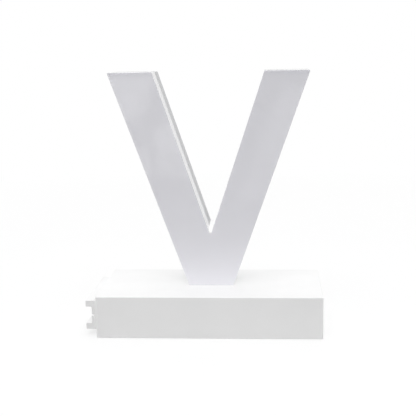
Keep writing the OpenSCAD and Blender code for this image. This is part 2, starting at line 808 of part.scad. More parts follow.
module contact_plates() {
    last = cell_count - 1;
    color(STEEL) {
        contact(-1, 0, 0);
        contact_tail(-1, cell_places[0]);
        contact(-1, 1, last);
        contact(1, 0, 1);
        contact(1, last, last);
        contact_tail(1, cell_places[last]);
    }
}

// Coupling
module coupling_plate() {
    color(WHITE) difference() {
        span([-end_x - plate_t, -rail_l / 2, middle_z - rail_h / 2],
            [-end_x, rail_l / 2, middle_z + rail_h / 2]);
        for (p = hook_screw_places)
            rod_x([-end_x - plate_t - cut, p[0], p[1]], medium_d + hole_play, plate_t + 2 * cut);
    }
}

// An angle rail on the coupling plate; side is up or down
module hook(side) {
    x0 = -end_x - rail_x1;
    top = side * rail_h / 2;
    tongue = side * (rail_h / 2 - tongue_t);
    low = side * hook_gap / 2;
    color(OFF_WHITE) difference() {
        union() {
            span([x0, -rail_l / 2, middle_z + min(top, low)],
                [x0 + leg_t, rail_l / 2, middle_z + max(top, low)]);
            span([x0 - tongue_l, -rail_l / 2, middle_z + min(top, tongue)],
                [x0 + leg_t, rail_l / 2, middle_z + max(top, tongue)]);
        }
        for (p = hook_screw_places) {
            rod_x([x0 - cut, p[0], p[1]], medium_d + hole_play, leg_t + 2 * cut);
            rod_x([x0 - cut, p[0], p[1]], medium_head_d + hole_play, medium_head_t + cut);
        }
    }
}
module upper_hook() {
    hook(1);
}
module lower_hook() {
    hook(-1);
}

module hook_screws() {
    color(STEEL) for (p = hook_screw_places)
        translate([-end_x - rail_x1 + medium_head_t, p[0], p[1]]) rotate([0, -90, 0])
            screw(medium_d, hook_screw_l, medium_head_d, medium_head_t);
}

module coupling_socket() {
    half_l = socket_half_l + socket_wall;
    half_h = socket_half_h + socket_wall;
    color(WHITE) difference() {
        union() {
            span([socket_x0, -half_l, middle_z - half_h], [end_x, half_l, middle_z + half_h]);
            span([inner_x - socket_flange_t, -half_l - socket_flange_w, floor_z],
                [inner_x, half_l + socket_flange_w, ceiling_z]);
        }
        span([end_x - socket_depth, -socket_half_l, middle_z - socket_half_h],
            [end_x + cut, socket_half_l, middle_z + socket_half_h]);
        for (side = [-1, 1]) let (z = side > 0 ? slot_half : -socket_half_h)
            span([end_x - slot_depth, -socket_half_l, middle_z + z],
                [end_x, socket_half_l, middle_z + z + socket_half_h - slot_half]);
    }
}

// Switch
module switch_frame() {
    color(STEEL) difference() {
        union() {
            span([switch_x - ear_l / 2, inner_y - frame_t, middle_z - can_h / 2],
                [switch_x + ear_l / 2, inner_y, middle_z + can_h / 2]);
            span([switch_x - can_l / 2, can_y, middle_z - can_h / 2],
                [switch_x + can_l / 2, inner_y, middle_z + can_h / 2]);
        }
        span([switch_x - can_l / 2 + frame_t, can_y - cut, middle_z - can_h / 2 + frame_t],
            [switch_x + can_l / 2 - frame_t, inner_y - frame_t, middle_z + can_h / 2 - frame_t]);
        translate([switch_x, inner_y, middle_z])
            cube([window_l, 2 * (frame_t + cut), window_h], center = true);
        for (side = [-1, 1])
            rod_y([switch_x + side * ear_screw_x, inner_y - frame_t - cut, middle_z],
                small_d + hole_play, frame_t + 2 * cut);
    }
}

module switch_base() {
    color(PHENOLIC) span([switch_x - can_l / 2, can_y - switch_base_t, middle_z - can_h / 2],
        [switch_x + can_l / 2, can_y, middle_z + can_h / 2]);
}

module switch_terminals() {
    color(BRASS) for (i = [-1, 0, 1])
        translate([switch_x + i * terminal_pitch, terminal_y + terminal_l / 2, middle_z])
            cube([terminal_w, terminal_l, terminal_w], center = true);
}

module switch_knob() {
    tip_y = face_y + knob_out;
    pitch = knob_w / (knob_groove_count + 1);
    color(BLACK) difference() {
        union() {
            span([knob_rest_x - slider_w / 2, can_y + move_gap, middle_z - slider_h / 2],
                [knob_rest_x + slider_w / 2, inner_y - frame_t - move_gap, middle_z + slider_h / 2]);
            span([knob_rest_x - knob_w / 2, can_y + move_gap, middle_z - knob_h / 2],
                [knob_rest_x + knob_w / 2, tip_y, middle_z + knob_h / 2]);
        }
        for (i = [1 : knob_groove_count])
            translate([knob_rest_x - knob_w / 2 + i * pitch, tip_y, middle_z])
                cube([knob_groove_w, 2 * knob_groove_depth, knob_h + 2 * cut], center = true);
    }
}

module switch_screws() {
    color(STEEL) for (side = [-1, 1])
        translate([switch_x + side * ear_screw_x, face_y - small_head_t, middle_z])
            rotate([-90, 0, 0]) screw(small_d, switch_screw_l, small_head_d, small_head_t);
}

// Driver board
module driver_board() {
    color(BOARD) difference() {
        span([board_x - board_w / 2, board_y - board_d / 2, board_z0],
            [board_x + board_w / 2, board_y + board_d / 2, board_z1]);
        for (p = standoff_places) translate([p[0], p[1], board_z0 - cut])
            cylinder(d = medium_d + hole_play, h = board_t + 2 * cut);
    }
}

module board_screws() {
    color(STEEL) for (p = standoff_places) translate([p[0], p[1], board_z1])
        screw(medium_d, board_screw_l, medium_head_d, medium_head_t);
}

module driver_chip() {
    color(BLACK) translate([board_x, board_y, board_z1 + chip_t / 2])
        cube([chip_w, chip_d, chip_t], center = true);
}

module driver_coil() {
    color(BLACK) translate([board_x + part_x, board_y - part_y, board_z1])
        cylinder(d = coil_d, h = coil_h);
}

module driver_capacitor() {
    color(STEEL) translate([board_x + part_x, board_y + part_y, board_z1])
        cylinder(d = capacitor_d, h = capacitor_h);
}

module lead_sockets() {
    color(OFF_WHITE) for (y = plug_places) translate([plug_x, y, plug_z])
        cube([plug_l, plug_w, plug_h], center = true);
}

// Leads

module battery_lead_minus() {
    y = cell_places[0];
    color(BLACK) lead([[minus_x, y, tail_top_z], [minus_x, y, lead_z], [run_x, y, lead_z],
        [run_x, plug_places[0], plug_z], [plug_face_x, plug_places[0], plug_z]]);
}

module battery_lead_plus() {
    y = cell_places[cell_count - 1];
    x = switch_x - terminal_pitch;
    color(RED) lead([[plus_x, y, tail_top_z], [plus_x, y, lead_z], [run_x, y, lead_z],
        [x, terminal_run_y, middle_z], [x, terminal_y, middle_z]]);
}

module switch_lead() {
    color(RED) lead([[switch_x, terminal_y, middle_z], [switch_x, terminal_run_y, middle_z],
        [run_x, plug_places[2], plug_z], [plug_face_x, plug_places[2], plug_z]]);
}

// A lead from the driver through the grommet to the foot of a lamp strip
module letter_lead(side) {
    x = side * lead_pair / 2;
    y = plug_places[1] + side * lead_pair / 2;
    low_z = heads_z - lead_end_l;
    pad_h = strip_rise + 2 * lead_d;
    pad_x = side * arm_middle(pad_h);
    pad_z = shell_z1 + pad_h;
    lead([[plug_face_x, y, plug_z], [run_x + x, y, plug_z], [x, fixing_y, low_z],
        [x, fixing_y, shell_z1 + fixing_boss_h], [pad_x, strip_y0 - lead_end_l, pad_z],
        [pad_x, strip_y0, pad_z]]);
}
module letter_lead_plus() {
    color(RED) letter_lead(1);
}
module letter_lead_minus() {
    color(BLACK) letter_lead(-1);
}

// The two leads that join the strips
module link_leads() {
    color(OFF_WHITE) for (i = [0, 1]) {
        h = strip_rise + 2 * lead_d + i * link_step;
        x = arm_middle(h) - strip_w / 2 + lead_d;
        y = strip_y0 - 2 * lead_bend;
        z = shell_z1 + h;
        low_z = shell_z1 + notch_h - link_drop - (1 - i) * link_step;
        lead([[-x, strip_y0, z], [-x, y, z], [0, y, low_z], [x, y, z], [x, strip_y0, z]]);
    }
}

// Letter fixing
module clamp_plate() {
    color(STEEL) difference() {
        span([-clamp_w / 2, fixing_y - clamp_d / 2, ceiling_z - clamp_t],
            [clamp_w / 2, fixing_y + clamp_d / 2, ceiling_z]);
        for (side = [-1, 1]) translate([side * fixing_x, fixing_y, ceiling_z - clamp_t - cut])
            cylinder(d = large_d + hole_play, h = clamp_t + 2 * cut);
        translate([0, fixing_y, ceiling_z - clamp_t - cut])
            cylinder(d = grommet_d + hole_play, h = clamp_t + 2 * cut);
    }
}

module fixing_screws() {
    color(STEEL) for (side = [-1, 1]) translate([side * fixing_x, fixing_y, ceiling_z - clamp_t])
        rotate([180, 0, 0]) screw(large_d, fixing_screw_l, large_head_d, large_head_t);
}

module wire_grommet() {
    z0 = ceiling_z - clamp_t - grommet_flange_t;
    color(RUBBER) translate([0, fixing_y, z0]) difference() {
        union() {
            cylinder(d = grommet_flange_d, h = grommet_flange_t);
            cylinder(d = grommet_d, h = shell_z1 + housing_wall - z0);
        }
        translate([0, 0, -cut])
            cylinder(d = grommet_bore_d, h = shell_z1 + housing_wall - z0 + 2 * cut);
    }
}

// Letter
module opal_cap() {
    color(OPAL) difference() {
        union() {
            difference() {
                letter_slab(letter_y0, split_y, 0);
                letter_slab(letter_y0 + face_t, split_y + cut, cap_wall);
            }
            for (p = post_places)
                rod_y([p[0], letter_y0 + face_t, shell_z1 + p[1]], post_d, cap_depth - face_t);
        }
        for (p = post_places)
            rod_y([p[0], housing_screw_y() - housing_screw_l, shell_z1 + p[1]],
                medium_d + hole_play, housing_screw_l);
    }
}

// The plane that the heads of the housing screws seat on
function housing_screw_y() = letter_y1 - medium_head_t;

module rear_housing() {
    lip = cap_wall + lip_gap;
    color(GREY) difference() {
        union() {
            difference() {
                letter_slab(split_y, letter_y1, 0);
                letter_slab(split_y + shoulder_t, back_inner_y, housing_wall);
                letter_slab(split_y - cut, split_y + shoulder_t + cut, lip + lip_t);
            }
            difference() {
                letter_slab(split_y - lip_h, split_y + shoulder_t, lip);
                letter_slab(split_y - lip_h - cut, split_y + shoulder_t + cut, lip + lip_t);
                for (p = post_places) rod_y([p[0], split_y - lip_h - cut, shell_z1 + p[1]],
                    post_d + 2 * lip_gap, lip_h + cut);
            }
            for (p = post_places)
                rod_y([p[0], split_y, shell_z1 + p[1]], post_d, housing_depth);
            for (side = [-1, 1]) translate([side * fixing_x, fixing_y, shell_z1])
                cylinder(d = fixing_boss_d, h = fixing_boss_h);
            for (side = [-1, 1]) for (s = strip_screw_steps) on_arm(side)
                rod_y([0, strip_y0 + strip_t, s], strip_pad_d, strip_pad_h);
        }
        for (p = post_places) {
            rod_y([p[0], split_y - cut, shell_z1 + p[1]], medium_d + hole_play, housing_depth + 2 * cut);
            rod_y([p[0], housing_screw_y(), shell_z1 + p[1]],
                medium_head_d + head_play, medium_head_t + cut);
        }
        for (side = [-1, 1]) translate([side * fixing_x, fixing_y, shell_z1 - cut])
            cylinder(d = large_d + hole_play, h = fixing_screw_l - clamp_t - base_top_t + cut);
        translate([0, fixing_y, shell_z1 - cut])
            cylinder(d = grommet_d + hole_play, h = housing_wall + 2 * cut);
        for (side = [-1, 1]) for (s = strip_screw_steps) on_arm(side)
            rod_y([0, strip_y0, s], small_d + hole_play, strip_screw_l);
    }
}

module housing_screws() {
    color(STEEL) for (p = post_places) translate([p[0], housing_screw_y(), shell_z1 + p[1]])
        rotate([-90, 0, 0]) screw(medium_d, housing_screw_l, medium_head_d, medium_head_t);
}

// Lamps
module lamp_strip(side) {
    color(STRIP) difference() {
        on_arm(side) span([-strip_w / 2, strip_y0, 0], [strip_w / 2, strip_y0 + strip_t, strip_l]);
        for (s = strip_screw_steps) on_arm(side)
            rod_y([0, strip_y0 - cut, s], small_d + hole_play, strip_t + 2 * cut);
    }
}
module lamp_strip_left() {
    lamp_strip(-1);
}
module lamp_strip_right() {
    lamp_strip(1);
}

module lamps(side) {
    color(LAMP) for (i = [0 : lamp_count - 1]) on_arm(side) translate([0, 0, (i + 0.5) * lamp_pitch]) {
        span([-lamp_w / 2, strip_y0 - lamp_t, -lamp_w / 2], [lamp_w / 2, strip_y0, lamp_w / 2]);
        rod_y([0, strip_y0 - lamp_t - lamp_lens_t, 0], lamp_lens_d, lamp_lens_t);
    }
}
module lamps_left() {
    lamps(-1);
}
module lamps_right() {
    lamps(1);
}

module strip_screws() {
    color(STEEL) for (side = [-1, 1]) for (s = strip_screw_steps) on_arm(side)
        translate([0, strip_y0, s]) rotate([90, 0, 0])
            screw(small_d, strip_screw_l, small_head_d, small_head_t);
}

base_shell();
bottom_cover();
cover_screws();
rubber_feet();
battery_door();
cell_front();
cell_middle();
cell_back();
contact_springs();
contact_plates();
coupling_plate();
upper_hook();
lower_hook();
hook_screws();
coupling_socket();
switch_frame();
switch_base();
switch_terminals();
switch_knob();
switch_screws();
driver_board();
driver_chip();
driver_coil();
driver_capacitor();
lead_sockets();
board_screws();
battery_lead_plus();
battery_lead_minus();
switch_lead();
letter_lead_plus();
letter_lead_minus();
link_leads();
clamp_plate();
fixing_screws();
wire_grommet();
opal_cap();
rear_housing();
housing_screws();
lamp_strip_left();
lamp_strip_right();
lamps_left();
lamps_right();
strip_screws();
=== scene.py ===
import logging
import math
from dataclasses import dataclass
from enum import Enum
from typing import Callable, Iterable, Protocol, Sequence

import bmesh
import bpy
from mathutils import Matrix, Vector


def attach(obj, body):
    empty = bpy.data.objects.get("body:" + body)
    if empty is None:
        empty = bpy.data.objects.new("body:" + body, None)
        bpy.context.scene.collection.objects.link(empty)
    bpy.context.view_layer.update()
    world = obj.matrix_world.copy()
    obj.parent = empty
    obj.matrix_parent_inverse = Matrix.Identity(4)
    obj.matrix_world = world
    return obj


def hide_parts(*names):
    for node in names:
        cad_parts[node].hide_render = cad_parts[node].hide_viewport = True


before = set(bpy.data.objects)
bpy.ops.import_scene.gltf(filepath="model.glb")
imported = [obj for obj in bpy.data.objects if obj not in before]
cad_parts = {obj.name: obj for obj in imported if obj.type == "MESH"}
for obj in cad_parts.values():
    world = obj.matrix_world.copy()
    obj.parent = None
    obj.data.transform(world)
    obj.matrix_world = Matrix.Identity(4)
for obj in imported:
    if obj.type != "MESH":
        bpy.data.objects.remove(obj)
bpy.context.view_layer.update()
LOG = logging.getLogger("letter")
MM = 0.001

# Distances in metres under which points of a loft, points of a CAD node and slivers are merged
WELD = 1e-7
CAD_WELD = 2e-6
SLIVER = 1e-6

# How far a cutting solid reaches past the face that it cuts, in millimetres
PAST = 1.0

# Rounding of a CAD node's edges: the turns, in degrees, that count as flat and as a corner, the
# steps of the rounding and its profile
FLAT_TURN = 0.5
CORNER_TURN = 50.0
EDGE_STEPS = 3
ROUND_PROFILE = 0.5

# Points round a screw's shank, a turn of a spring and its wire
SHANK_POINTS = 20
COIL_POINTS = 28
WIRE_POINTS = 10

Pair = tuple[float, float]
Triple = tuple[float, float, float]
Colour = tuple[float, float, float]
Placing = Callable[[float, float, float], Triple]


class Body(Enum):
    """The bodies of the frame that pieces ride on."""

    BASE = "base"
    DOOR = "battery_door"
    KNOB = "switch_knob"


class Slot(Enum):
    """The record's material slots, one named for each new piece."""

    WHITE = "white_plastic"
    HOOK = "hook_plastic"
    OPAL = "opal_acrylic"
    GREY = "grey_plastic"
    BLACK = "black_plastic"
    RUBBER = "rubber"
    STEEL = "steel"
    CELL = "cell_label"


class Facing(Enum):
    """Turns, in radians about X, Y and Z, that take a shape's +Z to a side of the object."""

    DOWN = (math.pi, 0.0, 0.0)
    BACK = (-math.pi / 2, 0.0, 0.0)
    LEFT = (0.0, -math.pi / 2, 0.0)
    RIGHT = (0.0, math.pi / 2, 0.0)


# Outlines and lofts


class Outline(Protocol):
    """A closed outline that can be drawn smaller."""

    def ring(self, inset: float) -> list[Pair]:
        """The outline's points, moved inwards by inset."""


@dataclass(frozen=True)
class Cornered:
    """An anticlockwise outline with rounded corners, in millimetres."""

    corners: Sequence[Pair]
    radii: Sequence[float]
    steps: int = 4

    def ring(self, inset: float) -> list[Pair]:
        """Draws the outline with every edge moved inwards.

        Args:
            inset: how far the edges move, in millimetres.

        Returns:
            As many points for each inset, so that rings can be joined.
        """
        points: list[Pair] = []
        count = len(self.corners)
        for i, corner in enumerate(self.corners):
            here = Vector(corner)
            before = (here - Vector(self.corners[i - 1])).normalized()
            after = (Vector(self.corners[(i + 1) % count]) - here).normalized()
            n0, n1 = Vector((before.y, -before.x)), Vector((after.y, -after.x))
            mitre = (n0 + n1) / (1 + n0.dot(n1))
            side = 1.0 if before.x * after.y - before.y * after.x > 0 else -1.0
            radius = max(self.radii[i] - side * inset, 0.0)
            centre = here - inset * mitre - side * radius * mitre
            turn = n0.angle_signed(n1)
            for k in range(self.steps + 1):
                a = -turn * k / self.steps
                c, s = math.cos(a), math.sin(a)
                p = centre + side * radius * Vector((n0.x * c - n0.y * s, n0.x * s + n0.y * c))
                points.append((p.x, p.y))
        return points


@dataclass(frozen=True)
class Round:
    """A circle, in millimetres."""

    radius: float
    centre: Pair = (0.0, 0.0)
    steps: int = 48

    def ring(self, inset: float) -> list[Pair]:
        """Draws the circle smaller.

        Args:
            inset: how much smaller its radius is, in millimetres.

        Returns:
            Its points, anticlockwise.
        """
        r = self.radius - inset
        x, y = self.centre
        turns = [2 * math.pi * k / self.steps for k in range(self.steps)]
        return [(x + r * math.cos(a), y + r * math.sin(a)) for a in turns]


def rectangle(low: Pair, high: Pair, radius: float, steps: int = 4) -> Cornered:
    """A rectangle between two corners, with all its corners rounded alike."""
    corners = [low, (high[0], low[1]), high, (low[0], high[1])]
    return Cornered(corners, [radius] * 4, steps)


def along_x(u: float, v: float, w: float) -> Triple:
    """Places an outline in the YZ plane, with its stations along X."""
    return (w, u, v)


def along_y(u: float, v: float, w: float) -> Triple:
    """Places an outline in the XZ plane, with its stations along Y."""
    return (u, w, v)


def along_z(u: float, v: float, w: float) -> Triple:
    """Places an outline in the XY plane, with its stations along Z."""
    return (u, v, w)


def rounded_end(end: float, radius: float, inward: float, steps: int = 4) -> list[Pair]:
    """Stations that round the edge of a loft's end.

    Args:
        end: where the loft ends, in millimetres.
        radius: radius of the edge.
        inward: +1 where the loft's inside lies further along, or -1.
        steps: steps in the rounding.

    Returns:
        Pairs of place and inset, from the end inwards.
    """
    turns = [math.pi / 2 * k / steps for k in range(steps + 1)]
    return [(end + inward * radius * (1 - math.cos(a)), radius * (1 - math.sin(a))) for a in turns]


def rounded_ends(low: float, high: float, radius: float) -> list[Pair]:
    """Stations of a bar whose edges are rounded alike at both ends."""
    return rounded_end(low, radius, 1) + rounded_end(high, radius, -1)[::-1]


def eased_cut(face: float, depth: float, rim: float) -> list[Pair]:
    """Stations of a cut into a face, from its bottom to past the face, which widens at its rim."""
    return [(face - depth, 0.0), (face - rim, 0.0), (face + PAST, -rim - PAST)]


def join_rings(shape: bmesh.types.BMesh, rings: Sequence[Sequence[bmesh.types.BMVert]]) -> None:
    """Joins rings of points into a closed solid with flat ends.

    Args:
        shape: the mesh that the points belong to.
        rings: the rings in their order, all with as many points.
    """
    for low, high in zip(rings, rings[1:]):
        for k in range(len(low)):
            n = (k + 1) % len(low)
            shape.faces.new((low[k], low[n], high[n], high[k]))
    shape.faces.new(rings[0])
    shape.faces.new(rings[-1])


def loft(shape: bmesh.types.BMesh, outline: Outline, stations: Sequence[Pair],
         place: Placing) -> None:
    """Adds a closed solid to a mesh: rings of one outline, joined, with flat ends.

    Args:
        shape: the mesh that the solid is added to.
        outline: the outline of every ring.
        stations: each ring's place along the axis and its inset, in millimetres.
        place: turns outline coordinates and a station into a point.
    """
    own = bmesh.new()
    rings = []
    for at, inset in stations:
        rings.append([own.verts.new(Vector(place(u, v, at)) * MM) for u, v in outline.ring(inset)])
    join_rings(own, rings)
    bmesh.ops.remove_doubles(own, verts=own.verts, dist=WELD)
    bmesh.ops.recalc_face_normals(own, faces=own.faces)
    mesh = bpy.data.meshes.new("loft")
    own.to_mesh(mesh)
    own.free()
    shape.from_mesh(mesh)
    bpy.data.meshes.remove(mesh)


# Pieces


def new_piece(name: str, shape: bmesh.types.BMesh) -> bpy.types.Object:
    """Makes an object of a mesh, at the origin.

    Args:
        name: the piece's name.
        shape: the mesh, which is freed here.

    Returns:
        The new object.
    """
    mesh = bpy.data.meshes.new(name)
    shape.to_mesh(mesh)
    shape.free()
    piece = bpy.data.objects.new(name, mesh)
    bpy.context.scene.collection.objects.link(piece)
    return piece


def settle(piece: bpy.types.Object) -> None:
    """Turns a piece's modifiers into plain mesh.

    Args:
        piece: the piece, which has no modifier afterwards.
    """
    bpy.context.view_layer.update()
    graph = bpy.context.evaluated_depsgraph_get()
    mesh = bpy.data.meshes.new_from_object(piece.evaluated_get(graph), depsgraph=graph)
    old, name = piece.data, piece.name
    piece.modifiers.clear()
    piece.data = mesh
    bpy.data.meshes.remove(old)
    mesh.name = name


class Join(Enum):
    """How a second solid is joined to a piece."""

    CUT = "DIFFERENCE"
    ADD = "UNION"


def combine(piece: bpy.types.Object, shape: bmesh.types.BMesh, how: Join) -> None:
    """Cuts a solid out of a piece, or adds it, and leaves a plain mesh.

    Args:
        piece: the piece that changes.
        shape: the solid, which is freed here.
        how: whether it is cut out or added.
    """
    other = new_piece(piece.name + "_other", shape)
    step = piece.modifiers.new("join", "BOOLEAN")
    step.operation, step.solver, step.object = how.value, "EXACT", other
    settle(piece)
    mesh = other.data
    bpy.data.objects.remove(other)
    bpy.data.meshes.remove(mesh)


def smooth(piece: bpy.types.Object, angle: float = 40.0) -> None:
    """Clears slivers off a piece and shades it smooth, with its flat faces kept flat.

    Args:
        piece: the piece that changes.
        angle: edges that turn by more than this, in degrees, stay sharp.
    """
    shape = bmesh.new()
    shape.from_mesh(piece.data)
    bmesh.ops.dissolve_degenerate(shape, dist=SLIVER, edges=shape.edges)
    shape.to_mesh(piece.data)
    shape.free()
    piece.data.shade_smooth()
    piece.data.set_sharp_from_angle(angle=math.radians(angle))
    step = piece.modifiers.new("normals", "WEIGHTED_NORMAL")
    step.mode, step.keep_sharp = "FACE_AREA", True
    settle(piece)


def softened(name: str, node: str, radius: float, shortest: float) -> bpy.types.Object:
    """Copies a CAD node and rounds its long edges.

    Args:
        name: the new piece's name.
        node: the CAD node.
        radius: radius of the rounded edges, in millimetres.
        shortest: length of the shortest edge that is rounded, in millimetres.

    Returns:
        The new piece.
    """
    shape = bmesh.new()
    shape.from_mesh(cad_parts[node].data)
    bmesh.ops.remove_doubles(shape, verts=shape.verts, dist=CAD_WELD)
    bmesh.ops.dissolve_limit(shape, angle_limit=math.radians(FLAT_TURN),
                             verts=shape.verts, edges=shape.edges)
    sharp, narrow = math.radians(CORNER_TURN), 2 * radius * MM
    edges = [e for e in shape.edges
             if e.calc_length() > shortest * MM and e.calc_face_angle(0.0) > sharp
             and min(face.calc_area() for face in e.link_faces) > narrow * e.calc_length()]
    bmesh.ops.bevel(shape, geom=edges, offset=radius * MM, offset_type="OFFSET",
                    segments=EDGE_STEPS, profile=ROUND_PROFILE, affect="EDGES", clamp_overlap=False)
    piece = new_piece(name, shape)
    smooth(piece)
    return piece


def dress(piece: bpy.types.Object, *materials: bpy.types.Material) -> None:
    """Gives a piece its materials.

    Args:
        piece: the piece, or a CAD node's object.
        materials: its materials, in the order of its faces' indices.
    """
    piece.data.materials.clear()
    for material in materials:
        piece.data.materials.append(material)


def mount(piece: bpy.types.Object, body: Body, slot: Slot, *nodes: str) -> None:
    """Lets a finished piece ride on its body, and reports it.

    Args:
        piece: the piece.
        body: the body that it moves with.
        slot: the record's slot that its finish belongs to; not used.
        nodes: the CAD nodes that it stands for, if any.
    """
    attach(piece, body.value)
    if nodes:
        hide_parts(*nodes)
    LOG.info("%s: %d faces on %s, for %s", piece.name, len(piece.data.polygons), body.value,
             ", ".join(nodes) or "no CAD node")


# Shapes that repeat


class ShapeTree:
    """A Geometry Nodes tree that puts one shape on every point of a mesh."""

    # Points round a disc, rings up its side and across its faces, and how tight its rim's curve is
    RIM_POINTS, SIDE_RINGS, FACE_RINGS, RIM_POWER = 32, 8, 5, 6.0

    # The turn, in degrees, above which an edge stays sharp, and the seed of the random spins
    CREASE, SEED = 35.0, 7

    def __init__(self, name: str, sizes: dict[str, float]) -> None:
        """Starts a tree with named inputs.

        Args:
            name: the tree's name.
            sizes: the inputs' names and first values, in metres or plain numbers.
        """
        self.tree = bpy.data.node_groups.new(name, "GeometryNodeTree")
        sockets = self.tree.interface
        sockets.new_socket("Geometry", in_out="OUTPUT", socket_type="NodeSocketGeometry")
        sockets.new_socket("Points", in_out="INPUT", socket_type="NodeSocketGeometry")
        self.keys: dict[str, str] = {}
        for label, value in sizes.items():
            socket = sockets.new_socket(label, in_out="INPUT", socket_type="NodeSocketFloat")
            socket.default_value = value
            self.keys[label] = socket.identifier
        self.keys["Material"] = sockets.new_socket(
            "Material", in_out="INPUT", socket_type="NodeSocketMaterial").identifier
        self.given = self.tree.nodes.new("NodeGroupInput").outputs
        self.result = self.tree.nodes.new("NodeGroupOutput")

    def add(self, kind: str, **links: object) -> bpy.types.Node:
        """Adds a node.

        Args:
            kind: the node's type.
            links: a setting where the keyword is in lower case, or else an input's value or link,
                with _ for a space in the input's name.

        Returns:
            The node.
        """
        node = self.tree.nodes.new(kind)
        for label, value in links.items():
            if label.islower():
                setattr(node, label, value)
        for label, value in links.items():
            if not label.islower():
                self.feed(node.inputs[label.replace("_", " ")], value)
        return node

    def feed(self, socket: bpy.types.NodeSocket, value: object) -> None:
        """Links a socket to another one, or sets its value.

        Args:
            socket: the input.
            value: an output that is linked to it, or a plain value.
        """
        if isinstance(value, bpy.types.NodeSocket):
            self.tree.links.new(value, socket)
        else:
            socket.default_value = value

    def math(self, operation: str, first: object, second: object = 0.0) -> bpy.types.NodeSocket:
        """A sum, product or other figure of two numbers.

        Args:
            operation: the name of the figure.
            first: the first number, linked or plain.
            second: the second number.

        Returns:
            The result's socket.
        """
        node = self.tree.nodes.new("ShaderNodeMath")
        node.operation = operation
        self.feed(node.inputs[0], first)
        self.feed(node.inputs[1], second)
        return node.outputs[0]

    def vector(self, x: object = 0.0, y: object = 0.0, z: object = 0.0) -> bpy.types.NodeSocket:
        """A vector of three numbers."""
        return self.add("ShaderNodeCombineXYZ", X=x, Y=y, Z=z).outputs[0]

    def raised(self, shape: bpy.types.NodeSocket, height: object) -> bpy.types.NodeSocket:
        """A shape moved along +Z."""
        shift = self.vector(z=height)
        return self.add("GeometryNodeTransform", Geometry=shape, Translation=shift).outputs[0]

    def joined(self, *shapes: bpy.types.NodeSocket) -> bpy.types.NodeSocket:
        """Several shapes as one.

        Args:
            shapes: the shapes' sockets.

        Returns:
            The geometry of them all.
        """
        node = self.tree.nodes.new("GeometryNodeJoinGeometry")
        for shape in reversed(shapes):
            self.tree.links.new(shape, node.inputs[0])
        return node.outputs[0]

    def turned_disc(self, radius: object, depth: object, rim: object, dome: object,
                    both: bool) -> bpy.types.NodeSocket:
        """A disc about the origin whose rim is rounded.

        Args:
            radius: the disc's radius.
            depth: its thickness along Z.
            rim: how far the rim is drawn in, as a part of the radius.
            dome: how far the top's middle stands up.
            both: True to round the lower rim like the upper one.

        Returns:
            The disc's geometry.
        """
        disc = self.add("GeometryNodeMeshCylinder", Vertices=self.RIM_POINTS,
                        Side_Segments=self.SIDE_RINGS, Fill_Segments=self.FACE_RINGS,
                        Radius=radius, Depth=depth).outputs["Mesh"]
        position = self.add("GeometryNodeInputPosition").outputs[0]
        x, y, z = self.add("ShaderNodeSeparateXYZ", Vector=position).outputs
        level = self.math("DIVIDE", self.math("MULTIPLY", z, 2.0), depth)
        level = self.math("ABSOLUTE", level) if both else self.math("MAXIMUM", level, 0.0)
        drawn = self.math("MULTIPLY", rim, self.math("POWER", level, self.RIM_POWER))
        narrow = self.math("SUBTRACT", 1.0, drawn)
        reach = self.math("ADD", self.math("MULTIPLY", x, x), self.math("MULTIPLY", y, y))
        share = self.math("DIVIDE", reach, self.math("MULTIPLY", radius, radius))
        rise = self.math("MULTIPLY", dome, level)
        lift = self.math("MULTIPLY", rise, self.math("SUBTRACT", 1.0, share))
        place = self.vector(self.math("MULTIPLY", x, narrow), self.math("MULTIPLY", y, narrow),
                            self.math("ADD", z, lift))
        return self.add("GeometryNodeSetPosition", Geometry=disc, Position=place).outputs[0]

    def close(self, shape: bpy.types.NodeSocket, spin: float) -> None:
        """Puts the shape on the points, each turned by its facing and a random spin; ends the tree.

        Args:
            shape: the shape, with its outside along +Z.
            spin: the largest spin about its own axis, in radians.
        """
        facing = self.add("GeometryNodeInputNamedAttribute", data_type="FLOAT_VECTOR",
                          Name="facing")
        turn = self.add("FunctionNodeEulerToRotation", Euler=facing.outputs[0]).outputs[0]
        set_out = self.add("GeometryNodeInstanceOnPoints", Points=self.given["Points"],
                           Instance=shape, Rotation=turn).outputs[0]
        angle = self.add("FunctionNodeRandomValue", data_type="FLOAT", Seed=self.SEED)
        low, high = [s for s in angle.inputs if s.enabled][:2]
        low.default_value, high.default_value = 0.0, spin
        chosen = next(s for s in angle.outputs if s.enabled)
        spun = self.add("FunctionNodeEulerToRotation", Euler=self.vector(z=chosen)).outputs[0]
        spread = self.add("GeometryNodeRotateInstances", Instances=set_out, Rotation=spun)
        real = self.add("GeometryNodeRealizeInstances", Geometry=spread.outputs[0]).outputs[0]
        last = self.add("GeometryNodeSetMaterial", Geometry=real, Material=self.given["Material"])
        self.tree.links.new(last.outputs[0], self.result.inputs[0])

    def grow(self, name: str, places: Sequence[Triple], facings: Sequence[Facing],
             sizes: dict[str, float], material: bpy.types.Material) -> bpy.types.Object:
        """Makes one plain mesh of the shape on a set of points.

        Args:
            name: the piece's name.
            places: the points, in millimetres.
            facings: each point's facing.
            sizes: values of the tree's inputs, in metres or plain numbers.
            material: the finish that the shapes get.

        Returns:
            The piece, with no modifier left on it.
        """
        shape = bmesh.new()
        for place in places:
            shape.verts.new(Vector(place) * MM)
        piece = new_piece(name, shape)
        facing = piece.data.attributes.new("facing", "FLOAT_VECTOR", "POINT")
        facing.data.foreach_set("vector", [a for f in facings for a in f.value])
        step = piece.modifiers.new("grow", "NODES")
        step.node_group = self.tree
        for label, value in sizes.items():
            step[self.keys[label]] = value
        step[self.keys["Material"]] = material
        settle(piece)
        smooth(piece, self.CREASE)
        return piece


